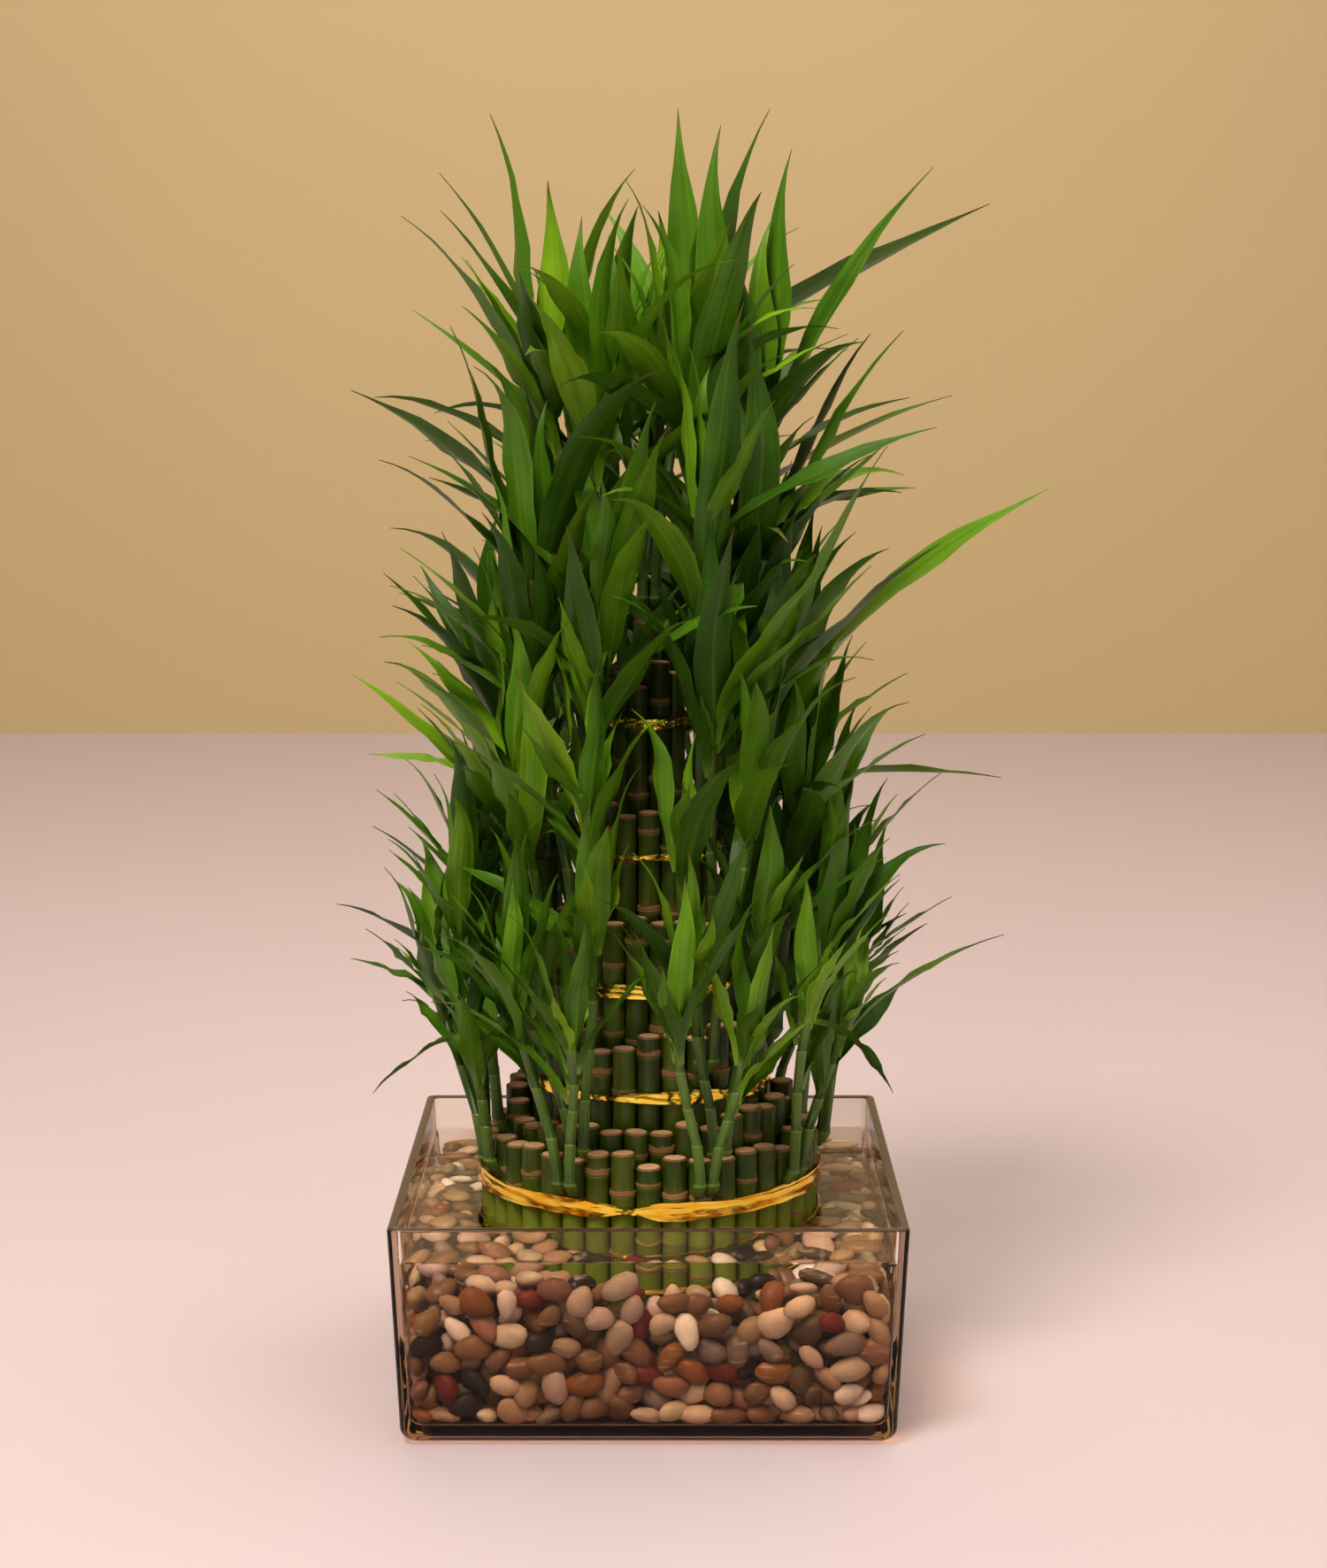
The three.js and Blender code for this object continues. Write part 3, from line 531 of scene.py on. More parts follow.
    def _blade(self, stem: Stem, order: int, strain: float, draws: Draws) -> Blade:
        """Returns a blade.

        Args:
            stem: what it grows on.
            order: its number on the stem, from below.
            strain: how far it may stray from its own way, from 0 to 1.
            draws: its own stream.

        Returns:
            The blade.
        """
        row = ROWS[stem.level]
        rings = sorted([*STEM.blade_rings, *STEM.blade_rings, len(STEM.rings)])
        spread = 1.0 if stem.level >= len(ROWS) - 2 else 0.66
        spiral = ((BLADE.golden_turn * (order + stem.number)) % TURN) - math.pi
        heading = stem.outward + spiral * spread + draws.sway(0.2 + 1.4 * strain)
        site = stem.free_site(heading, rings[order])
        turned = turn_between(heading, stem.outward) / math.pi
        lift = 0.45 * turned * (1 - order / BLADE.per_stem)
        rise = BLADE.lowest_rise + BLADE.rise_step * order + lift + draws.sway(0.12 + 0.35 * strain)
        length = draws.between(*row.blade) * (1 - 0.04 * order) * (1 - 0.25 * strain)
        droop = draws.between(0.2, 0.75)
        spine = blade_spine(site.root, heading, min(rise, 1.45), length, droop, draws.sway(0.25))
        return self._finish_blade(site, spine, heading, length * BLADE.aspect, draws)


# Meshes and attributes


def start_clean() -> None:
    """Leaves edit mode and selects nothing."""
    if bpy.context.object and bpy.context.object.mode != "OBJECT":
        bpy.ops.object.mode_set(mode="OBJECT")
    bpy.ops.object.select_all(action="DESELECT")


def select_alone(piece: Piece) -> None:
    """Selects a piece and nothing else, and makes it active."""
    start_clean()
    piece.select_set(True)
    bpy.context.view_layer.objects.active = piece


def open_for_editing(piece: Piece) -> None:
    """Makes a piece active with all of its mesh selected in edit mode."""
    select_alone(piece)
    bpy.ops.object.mode_set(mode="EDIT")
    bpy.ops.mesh.select_all(action="SELECT")


def close_editing() -> None:
    """Turns all faces outwards and leaves edit mode."""
    bpy.ops.mesh.select_all(action="SELECT")
    bpy.ops.mesh.normals_make_consistent(inside=False)
    bpy.ops.object.mode_set(mode="OBJECT")


def tube_master(name: str, sides: int, rings: int) -> Piece:
    """Models a closed tube of unit radius with a ring at every whole height.

    Args:
        name: of the object.
        sides: number of points in a ring.
        rings: number of rings.

    Returns:
        The tube, standing on the origin.
    """
    start_clean()
    bpy.ops.mesh.primitive_circle_add(vertices=sides, radius=1.0, fill_type="NGON", location=(0, 0, 0))
    tube = bpy.context.object
    tube.name = name
    open_for_editing(tube)
    for _ in range(rings - 1):
        bpy.ops.mesh.extrude_region_move(TRANSFORM_OT_translate={"value": (0, 0, 1)})
    close_editing()
    return tube


def points_of(piece: Piece) -> Points:
    """Returns the places of a piece's points."""
    flat = np.zeros(len(piece.data.vertices) * 3)
    piece.data.vertices.foreach_get("co", flat)
    return flat.reshape(-1, 3)


def set_points(piece: Piece, points: Points) -> None:
    """Moves a piece's points to places given in millimetres."""
    piece.data.vertices.foreach_set("co", (points * MM).astype(np.float32).ravel())
    piece.data.update()


def set_uv(piece: Piece, uv: Points) -> None:
    """Gives each point of a piece its place on the surface map."""
    layer = piece.data.uv_layers.active or piece.data.uv_layers.new(name="UVMap")
    layer.name = "UVMap"
    corners = np.zeros(len(piece.data.loops), int)
    piece.data.loops.foreach_get("vertex_index", corners)
    layer.data.foreach_set("uv", uv[corners].astype(np.float32).ravel())


def set_look(piece: Piece, name: str, values: Points) -> None:
    """Gives each point of a piece three numbers that its finish reads.

    Args:
        piece: the piece.
        name: of the attribute.
        values: three numbers for each point.
    """
    look = piece.data.color_attributes.new(name=name, type="FLOAT_COLOR", domain="POINT")
    full = np.ones((len(values), 4), np.float32)
    full[:, :3] = values
    look.data.foreach_set("color", full.ravel())


def copy_of(master: Piece, name: str) -> Piece:
    """Returns a copy of a master with a mesh of its own."""
    copy = master.copy()
    copy.data = master.data.copy()
    copy.name = name
    bpy.context.collection.objects.link(copy)
    return copy


def join(parts: Sequence[Piece], name: str) -> Piece:
    """Joins parts into one piece."""
    start_clean()
    for part in parts:
        part.select_set(True)
    bpy.context.view_layer.objects.active = parts[0]
    bpy.ops.object.join()
    joined = bpy.context.object
    joined.name = name
    joined.data.name = name
    return joined


def smooth(piece: Piece, angle: float) -> None:
    """Shades a piece smooth but for edges sharper than an angle in degrees."""
    select_alone(piece)
    bpy.ops.object.shade_smooth_by_angle(angle=math.radians(angle))


def place(piece: Piece, nodes: Sequence[str]) -> None:
    """Fixes a finished piece to the body and lets it stand for its solids."""
    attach(piece, "root")
    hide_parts(*nodes)
    LOG.info("%s: %d faces", piece.name, len(piece.data.polygons))


def ripples(draws: Draws, waves: Sequence[int]) -> Callable[[Points], Points]:
    """Returns an uneven closed wave of an angle, from -1 to 1.

    Args:
        draws: the stream for its phases.
        waves: how many whole waves each part has in a turn.

    Returns:
        The wave as a function of the angle.
    """
    parts = [(count, draws.between(0, TURN), draws.between(0.5, 1)) for count in waves]
    total = sum(weight for _, _, weight in parts)

    def wave(angle: Points) -> Points:
        """Returns the wave's height."""
        return sum(weight * np.sin(count * angle + phase) for count, phase, weight in parts) / total

    return wave


# Finishes


class Graph:
    """A material's nodes, linked by short calls."""

    def __init__(self, name: str) -> None:
        """Starts an empty material.

        Args:
            name: of the material.
        """
        self.material = bpy.data.materials.new(name)
        self.material.use_nodes = True
        self.nodes = self.material.node_tree.nodes
        self.nodes.clear()
        self.output = self.nodes.new("ShaderNodeOutputMaterial")

    def feed(self, socket: Socket, value: Input) -> None:
        """Links or sets one input."""
        if isinstance(value, Socket):
            self.material.node_tree.links.new(value, socket)
        elif isinstance(value, tuple) and len(value) == 3 and socket.type == "RGBA":
            socket.default_value = (*value, 1.0)
        else:
            socket.default_value = value

    def math(self, operation: str, *values: Input) -> Socket:
        """Returns the result of a sum on numbers."""
        node = self.nodes.new("ShaderNodeMath")
        node.operation = operation
        for socket, value in zip(node.inputs, values):
            self.feed(socket, value)
        return node.outputs[0]

    def plus(self, first: Input, second: Input) -> Socket:
        """Returns the sum of two numbers."""
        return self.math("ADD", first, second)

    def times(self, first: Input, second: Input) -> Socket:
        """Returns one number times another."""
        return self.math("MULTIPLY", first, second)

    def greater(self, first: Input, second: Input) -> Socket:
        """Returns the greater of two numbers."""
        return self.math("MAXIMUM", first, second)

    def varied(self, value: Input, cloud: Input, width: float) -> Socket:
        """Returns a number that a cloud from 0 to 1 moves up and down."""
        return self.plus(value, self.times(self.math("SUBTRACT", cloud, 0.5), width))

    def step(self, value: Input, low: float, high: float) -> Socket:
        """Returns a smooth climb from 0 at low to 1 at high."""
        node = self.nodes.new("ShaderNodeMapRange")
        node.interpolation_type = "SMOOTHSTEP"
        self.feed(node.inputs["Value"], value)
        ends = (low, high, 0.0, 1.0) if low < high else (high, low, 1.0, 0.0)
        for name, end in zip(("From Min", "From Max", "To Min", "To Max"), ends):
            node.inputs[name].default_value = end
        return node.outputs["Result"]

    def spread(self, value: Input, low: float, high: float) -> Socket:
        """Returns a number from 0 to 1 stretched between two ends."""
        node = self.nodes.new("ShaderNodeMapRange")
        self.feed(node.inputs["Value"], value)
        node.inputs["To Min"].default_value = low
        node.inputs["To Max"].default_value = high
        return node.outputs["Result"]

    def mix(self, factor: Input, first: Input, second: Input) -> Socket:
        """Returns a mix of two colours."""
        node = self.nodes.new("ShaderNodeMix")
        node.data_type = "RGBA"
        self.feed(node.inputs["Factor"], factor)
        self.feed(node.inputs[6], first)
        self.feed(node.inputs[7], second)
        return node.outputs[2]

    def shade(self, colour: Input, factor: Input) -> Socket:
        """Returns a colour times a number."""
        node = self.nodes.new("ShaderNodeMix")
        node.data_type = "RGBA"
        node.blend_type = "MULTIPLY"
        node.inputs["Factor"].default_value = 1.0
        self.feed(node.inputs[6], colour)
        grey = self.nodes.new("ShaderNodeCombineColor")
        for socket in grey.inputs:
            self.feed(socket, factor)
        self.feed(node.inputs[7], grey.outputs[0])
        return node.outputs[2]

    def place_on(self, source: str) -> Socket:
        """Returns the Object or UV coordinates."""
        return self.nodes.new("ShaderNodeTexCoord").outputs[source]

    def stretched(self, vector: Input, scale: tuple[float, float, float]) -> Socket:
        """Returns coordinates scaled along each axis."""
        node = self.nodes.new("ShaderNodeVectorMath")
        node.operation = "MULTIPLY"
        self.feed(node.inputs[0], vector)
        node.inputs[1].default_value = scale
        return node.outputs[0]

    def parted(self, vector: Input) -> tuple:
        """Returns the three parts of a vector."""
        node = self.nodes.new("ShaderNodeSeparateXYZ")
        self.feed(node.inputs[0], vector)
        return tuple(node.outputs)

    def joined(self, *parts: Input) -> Socket:
        """Returns a vector made of three numbers."""
        node = self.nodes.new("ShaderNodeCombineXYZ")
        for socket, part in zip(node.inputs, parts):
            self.feed(socket, part)
        return node.outputs[0]

    def look(self, name: str) -> tuple:
        """Returns the three numbers of a piece's own attribute, and its colour."""
        node = self.nodes.new("ShaderNodeAttribute")
        node.attribute_name = name
        parts = self.nodes.new("ShaderNodeSeparateColor")
        self.feed(parts.inputs[0], node.outputs["Color"])
        return (*parts.outputs, node.outputs["Color"])

    def noise(self, vector: Input, scale: float, detail: float = 3.0, rough: float = 0.55) -> Socket:
        """Returns cloudy noise."""
        node = self.nodes.new("ShaderNodeTexNoise")
        self.feed(node.inputs["Vector"], vector)
        node.inputs["Scale"].default_value = scale
        node.inputs["Detail"].default_value = detail
        node.inputs["Roughness"].default_value = rough
        return node.outputs["Fac"]

    def cells(self, vector: Input, scale: float) -> Socket:
        """Returns the distance to the middle of the nearest cell."""
        node = self.nodes.new("ShaderNodeTexVoronoi")
        self.feed(node.inputs["Vector"], vector)
        node.inputs["Scale"].default_value = scale
        return node.outputs["Distance"]

    def bump(self, height: Input, strength: float, distance: float) -> Socket:
        """Returns a normal raised by a height."""
        node = self.nodes.new("ShaderNodeBump")
        node.inputs["Strength"].default_value = strength
        node.inputs["Distance"].default_value = distance
        self.feed(node.inputs["Height"], height)
        return node.outputs[0]

    def slant(self) -> Socket:
        """Returns 0 where the surface faces the eye and 1 where it is seen edge-on."""
        weight = self.nodes.new("ShaderNodeLayerWeight")
        weight.inputs["Blend"].default_value = 0.5
        return weight.outputs["Facing"]

    def run_inside(self) -> Socket:
        """Returns how far light ran through the piece before it got here, in metres."""
        ray = self.nodes.new("ShaderNodeLightPath")
        side = self.nodes.new("ShaderNodeNewGeometry")
        return self.times(side.outputs["Backfacing"], ray.outputs["Ray Length"])

    def surface(self, **values: Input) -> Shader:
        """Returns a Principled shader; a name's underscores stand for spaces."""
        shader = self.nodes.new("ShaderNodeBsdfPrincipled")
        for name, value in values.items():
            self.feed(shader.inputs[name.replace("_", " ")], value)
        return shader

    def show(self, shader: Shader) -> Material:
        """Makes a shader the surface and returns the material."""
        self.feed(self.output.inputs["Surface"], shader.outputs[0])
        return self.material

    def show_clear(self, shader: Shader, tint: Colour) -> Material:
        """Shows a clear shader that lets light through to what is behind it."""
        through = self.nodes.new("ShaderNodeBsdfTransparent")
        through.inputs["Color"].default_value = (*tint, 1.0)
        either = self.nodes.new("ShaderNodeMixShader")
        rays = self.nodes.new("ShaderNodeLightPath")
        self.feed(either.inputs[0], rays.outputs["Is Shadow Ray"])
        self.feed(either.inputs[1], shader.outputs[0])
        self.feed(either.inputs[2], through.outputs[0])
        return self.show(either)


@dataclass(frozen=True)
class LeafFinish:
    """Waxy leaf: pale streaks and midrib, from dark old to yellow-green young."""

    old: Colour = (0.026, 0.078, 0.004)
    full: Colour = (0.070, 0.180, 0.005)
    young: Colour = (0.230, 0.420, 0.012)
    rib: Colour = (0.260, 0.380, 0.040)
    dry: Colour = (0.150, 0.075, 0.020)

    def material(self) -> Material:
        """Returns the leaf material."""
        g = Graph("leaf_blade")
        across, along, _ = g.parted(g.place_on("UV"))
        age, dryness, chance, _ = g.look("look")
        seed = g.times(chance, 60.0)
        fine = g.noise(g.joined(g.times(across, 34.0), g.times(along, 1.3), seed), 1.0, 2.0)
        broad = g.noise(g.joined(g.times(across, 7.0), g.times(along, 1.6), seed), 1.0, 2.0)
        cloud = g.noise(g.place_on("Object"), 38.0, 3.0)
        streaks = g.plus(g.times(fine, 0.30), g.times(broad, 0.46))
        tone = g.plus(age, g.math("SUBTRACT", streaks, 0.36))
        tone = g.varied(tone, cloud, 0.35)
        green = g.mix(g.step(tone, 0.0, 0.45), self.old, self.full)
        green = g.mix(g.step(tone, 0.40, 1.05), green, self.young)
        off_middle = g.math("ABSOLUTE", g.math("SUBTRACT", across, 0.5))
        rib = g.times(g.step(off_middle, 0.075, 0.0), g.step(along, 0.95, 0.30))
        green = g.mix(g.times(rib, 0.16), green, self.rib)
        margin = g.step(off_middle, 0.465, 0.498)
        green = g.mix(g.times(margin, 0.14), green, self.rib)
        green = g.mix(g.times(g.step(along, 0.10, 0.0), 0.5), green, self.rib)
        ragged = g.varied(along, fine, 0.10)
        withered = g.times(g.step(ragged, 0.90, 0.97), dryness)
        colour = g.mix(withered, green, self.dry)
        rough = g.plus(g.spread(fine, 0.26, 0.44), g.times(withered, 0.3))
        raised = g.plus(g.times(fine, 0.6), g.times(broad, 0.8))
        normal = g.bump(raised, 0.35, 0.0006)
        return g.show(g.surface(Base_Color=colour, Roughness=rough, Normal=normal, Specular_IOR_Level=0.20))


@dataclass(frozen=True)
class StemFinish:
    """Green stem wrapped in the sheaths of its leaves."""

    dark: Colour = (0.024, 0.062, 0.004)
    light: Colour = (0.098, 0.175, 0.012)
    lip: Colour = (0.200, 0.270, 0.040)

    def material(self) -> Material:
        """Returns the stem material."""
        g = Graph("shoot_stem")
        around, _, _ = g.parted(g.place_on("UV"))
        light, lip, chance, _ = g.look("look")
        where = g.stretched(g.place_on("Object"), (900.0, 900.0, 60.0))
        fibre = g.noise(where, 1.0, 2.0)
        cloud = g.noise(g.place_on("Object"), 60.0, 2.0)
        tone = g.varied(light, fibre, 0.7)
        tone = g.varied(tone, cloud, 0.5)
        tone = g.varied(tone, chance, 0.3)
        # Painted light: each stem is a little lighter on its -x side, towards the key lamp.
        tone = g.varied(tone, around, 0.08)
        green = g.mix(g.step(tone, 0.0, 1.0), self.dark, self.light)
        colour = g.mix(g.times(g.step(lip, 0.55, 1.0), 0.55), green, self.lip)
        normal = g.bump(fibre, 0.25, 0.0004)
        return g.show(g.surface(Base_Color=colour, Roughness=g.spread(fibre, 0.30, 0.48), Normal=normal))


@dataclass(frozen=True)
class CaneFinish:
    """Cane skin with node scars, the tan cut at its top, and painted light on the low canes."""

    dark: Colour = (0.016, 0.033, 0.002)
    light: Colour = (0.065, 0.094, 0.004)
    # Waxy bloom under the nodes; the same colour also paints light on the canes near the water.
    bloom_and_painted_light: Colour = (0.195, 0.235, 0.018)
    scar: Colour = (0.380, 0.190, 0.070)
    cut: Colour = (0.780, 0.440, 0.220)
    bark: Colour = (0.110, 0.048, 0.014)

    def material(self) -> Material:
        """Returns the cane material."""
        g = Graph("cane_skin")
        climb, scar, chance, _ = g.look("look")
        cut, rim, _, _ = g.look("cut")
        where = g.place_on("Object")
        fibre = g.noise(g.stretched(where, (700.0, 700.0, 30.0)), 1.0, 3.0)
        cloud = g.noise(where, 55.0, 3.0)
        tone = g.varied(chance, fibre, 0.8)
        tone = g.varied(tone, cloud, 0.8)
        green = g.mix(g.step(tone, 0.0, 1.0), self.dark, self.light)
        # Painted light: the canes turn lighter towards the bottom, fully below 92 mm, as if lit near the
        # water.
        low = g.times(g.step(g.parted(where)[2], 0.122, 0.092), 0.75)
        green = g.mix(g.greater(low, g.times(g.step(climb, 0.80, 1.0), 0.35)), green, self.bloom_and_painted_light)
        ragged = g.varied(scar, fibre, 0.5)
        band = g.step(ragged, 0.45, 0.85)
        colour = g.mix(band, green, g.mix(cloud, self.bark, self.scar))
        pith = g.cells(where, 900.0)
        wood = g.mix(g.step(pith, 0.15, 0.60), g.mix(cloud, self.cut, self.scar), self.cut)
        wood = g.mix(g.step(rim, 0.55, 1.0), wood, self.bark)
        face = g.step(cut, 0.5, 0.9)
        colour = g.mix(face, colour, wood)
        rough = g.plus(g.spread(fibre, 0.26, 0.44), g.times(g.greater(band, face), 0.3))
        raised = g.plus(fibre, g.times(band, g.noise(where, 900.0)))
        normal = g.bump(raised, 0.35, 0.0005)
        return g.show(g.surface(Base_Color=colour, Roughness=rough, Normal=normal, Specular_IOR_Level=0.26))


@dataclass(frozen=True)
class PebbleFinish:
    """River pebbles, each of its own colour, mottled and wet."""

    vein: Colour = (0.58, 0.40, 0.28)

    def material(self) -> Material:
        """Returns the pebble material."""
        g = Graph("river_pebble")
        stone = g.look("stone")[3]
        shift, banding, speckle, _ = g.look("grain")
        offset = g.times(shift, 40.0)
        x, y, z = g.parted(g.place_on("Object"))
        where = g.joined(g.plus(x, offset), y, z)
        cloud = g.noise(where, 90.0, 4.0, 0.6)
        bands = g.noise(g.stretched(where, (60.0, 60.0, 420.0)), 1.0, 3.0)
        fine = g.noise(where, 1400.0, 2.0)
        colour = g.shade(stone, g.spread(cloud, 0.55, 1.42))
        streak = g.times(g.step(bands, 0.56, 0.66), g.step(banding, 0.60, 0.80))
        colour = g.mix(g.times(streak, 0.45), colour, self.vein)
        dots = g.times(g.step(fine, 0.62, 0.72), g.step(speckle, 0.5, 0.9))
        colour = g.shade(colour, g.math("SUBTRACT", 1.0, g.times(dots, 0.45)))
        normal = g.bump(g.plus(cloud, g.times(fine, 0.2)), 0.25, 0.0010)
        rough = g.spread(cloud, 0.22, 0.46)
        return g.show(g.surface(Base_Color=colour, Roughness=rough, Normal=normal, Specular_IOR_Level=0.2))


@dataclass(frozen=True)
class FoilFinish:
    """Crumpled gold foil, with highlights and shade painted along its creases."""

    gold_and_painted_highlight: Colour = (1.00, 0.80, 0.12)
    # Deep orange: painted shade in the hollows of the creases.
    deep: Colour = (0.98, 0.54, 0.02)

    def material(self) -> Material:
        """Returns the foil material."""
        g = Graph("gold_foil")
        where = g.place_on("Object")
        crease = g.noise(g.stretched(where, (1.0, 1.0, 7.0)), 80.0, 2.0, 0.5)
        facet = g.cells(g.stretched(where, (1.0, 1.0, 3.0)), 110.0)
        # Painted light: raised creases get the highlight gold and the hollows the deep orange, over the
        # foil's own gold.
        colour = g.mix(g.step(crease, 0.35, 0.65), self.deep, self.gold_and_painted_highlight)
        normal = g.bump(g.plus(g.times(facet, 0.15), crease), 0.11, 0.0010)
        rough = g.spread(crease, 0.05, 0.20)
        return g.show(g.surface(Base_Color=colour, Metallic=1.0, Roughness=rough, Normal=normal))


@dataclass(frozen=True)
class GlassFinish:
    """Smoky brown glass, dry or with water behind it, and its ground rim."""

    facing: Colour = (0.93, 0.88, 0.80)
    slant: Colour = (0.66, 0.41, 0.27)
    foot: Colour = (0.60, 0.28, 0.15)
    rim: Colour = (0.075, 0.045, 0.030)
    deep: Colour = (0.34, 0.17, 0.10)
    wetted: Colour = (0.80, 0.74, 0.76)
    shadow: Colour = (0.76, 0.67, 0.59)
    wetted_shadow: Colour = (0.58, 0.45, 0.34)
    glint: Colour = (0.30, 0.27, 0.25)
    bend: float = 1.5
    wetted_bend: float = 1.128
    rim_clearness: float = 0.28

    def _pane(self, g: Graph, bend: float, tint: Input, clear: float, shadow: Colour) -> Material:
        """Returns one of the materials.

        Args:
            g: its graph.
            bend: its index of refraction against what lies outside.
            tint: what it takes from the light that crosses it.
            clear: the share of light that goes through.
            shadow: what it takes from the light for its shadow.

        Returns:
            The material.
        """
        haze = g.spread(g.noise(g.place_on("Object"), 25.0, 3.0), 0.0, 0.008)
        shader = g.surface(Base_Color=tint, Transmission_Weight=clear, IOR=bend, Roughness=haze)
        shader.inputs["Specular Tint"].default_value = (*self.glint, 1.0)
        return g.show_clear(shader, shadow)

    def _darkened(self, g: Graph, tint: Input) -> Socket:
        """Returns a tint that deepens where light runs far inside the glass."""
        return g.mix(g.step(g.run_inside(), 0.007, 0.060), tint, self.deep)

    def materials(self) -> list[Material]:
        """Returns the dry glass, the glass that water wets and the ground rim."""
        g = Graph("smoky_glass")
        height = g.parted(g.place_on("Object"))[2]
        slant = g.step(g.slant(), 0.35, 0.90)
        low = g.step(height, 0.012, 0.005)
        tint = g.mix(low, g.mix(slant, self.facing, self.slant), self.foot)
        tint = self._darkened(g, tint)
        dry = self._pane(g, self.bend, tint, 1.0, self.shadow)
        g = Graph("wetted_glass")
        tint = self._darkened(g, self.wetted)
        wetted = self._pane(g, self.wetted_bend, tint, 1.0, self.wetted_shadow)
        g = Graph("ground_rim")
        tint = g.shade(self.rim, g.spread(g.noise(g.place_on("Object"), 300.0), 0.7, 1.3))
        return [dry, wetted, self._pane(g, self.bend, tint, self.rim_clearness, self.shadow)]


@dataclass(frozen=True)
class WaterFinish:
    """Clear still water with a hint of the stones' tan."""

    tint: Colour = (0.98, 0.90, 0.80)
    glint: Colour = (0.20, 0.17, 0.14)
    side: Colour = (0.99, 0.985, 0.97)
    shadow: Colour = (0.86, 0.83, 0.78)
    bend: float = 1.333

    def materials(self) -> list[Material]:
        """Returns the water's open surface and what lies against the glass."""
        g = Graph("still_water")
        swell = g.noise(g.place_on("Object"), 30.0, 1.0)
        normal = g.bump(swell, 0.05, 0.001)
        shader = g.surface(
            Base_Color=self.tint, Transmission_Weight=1.0, IOR=self.bend, Roughness=0.0, Normal=normal
        )
        shader.inputs["Specular Tint"].default_value = (*self.glint, 1.0)
        g.show_clear(shader, self.shadow)
        side = Graph("water_against_glass")
        clear = side.nodes.new("ShaderNodeBsdfTransparent")
        clear.inputs["Color"].default_value = (*self.side, 1.0)
        return [g.material, side.show(clear)]


@dataclass(frozen=True)
class StageFinish:
    """Plain matt paint of the floor and the backdrop."""

    name: str
    colour: Colour

    def material(self) -> Material:
        """Returns the paint."""
        g = Graph(self.name)
        tone = g.spread(g.noise(g.place_on("Object"), 3.0, 1.0), 0.985, 1.015)
        return g.show(g.surface(Base_Color=g.shade(self.colour, tone), Roughness=0.55))


# The shoots


@dataclass(frozen=True)
class LeafSizes:
    """Sizes of the fine leaves, in millimetres."""

    stations: tuple[float, ...] = (
        0, 0.03, 0.07, 0.12, 0.18, 0.25, 0.32, 0.4, 0.48, 0.56, 0.64, 0.72, 0.79, 0.86, 0.93, 1,
    )
    across: tuple[float, ...] = (1, 0.52, 0, -0.52, -1, -0.52, 0, 0.52)
    layer: tuple[int, ...] = (0, 1, 1, 1, 0, -1, -1, -1)
    rib_corner: int = 6
    thickness: float = 0.5
    thick_share: float = 0.15
    drawn_from: float = 0.58
    drawn_over: float = 0.34
    drawn_by: float = 0.30
    foot_half: float = 2.9
    foot_share: float = 0.12
    neck_half: float = 1.5
    neck_share: float = 0.6
    fold: float = 0.22
    clasp: float = 1.05
    clasp_share: float = 0.2
    point: float = 0.12
    flutter: float = 0.8
    bend: float = 1.3


@dataclass(frozen=True)
class StemDetail:
    """Sizes of the fine stems, in millimetres."""

    sides: int = 10
    sheaths: int = 4
    per_sheath: int = 3
    lip: float = 0.32
    apart: float = 3.4
    skin: float = 0.25
    tip_rise: float = 3.0
    tip_radius: float = 1.4


@dataclass(frozen=True)
class YoungLeaves:
    """Habits of the short leaves in a crown's heart, in millimetres and radians."""

    count: int = 2
    off_middle: float = 1.2
    below_top: float = 4.0
    rise: float = 0.92
    rise_step: float = 0.36
    steepest: float = 1.5
    length: float = 0.78
    length_step: float = 0.16
    width: float = 0.95
    width_step: float = 0.15
    ripple: float = 11.0


@dataclass(frozen=True)
class Filling:
    """Where the leaves may go that fill the gaps, in millimetres and radians."""

    per_stem: int = 4
    tries: int = 14
    turn: float = 2.4
    off_stem: float = 2.4
    low_rise: tuple[float, float] = (0.5, 1.25)
    high_rise: tuple[float, float] = (0.2, 0.95)
    high_level: int = 4
    widest: float = 128.0
    highest: float = 622.0
    above_row: float = 6.0
    off_row: float = 12.0
    above_bowl: float = 8.0
    front_half: float = 46.0
    front_top: float = 350.0


# The rings of a stem's foot in its bud: inward, down, radius, lightness, lip

FOOT_RINGS = (
    (4.8, 7.6, 2.4, 0.4, 0.1),
    (2.6, 4.8, 3.4, 0.5, 0.1),
    (0.9, 1.8, 3.8, 0.7, 0.3),
    (0.3, 0.2, 4.0, 0.8, 1.0),
    (0.0, -0.9, 3.35, 0.2, 0.1),
)


def half_width_share(share: Points) -> Points:
    """Returns a blade's half width at a share of its length, over the greatest one."""
    return 4.126 * share**0.85 * (1 - share) ** 1.25


def from_root(share: Points, end: float) -> Points:
    """Returns 1 at a leaf's root, falling to 0 at a share of its length."""
    return np.clip(1 - share / end, 0, 1)


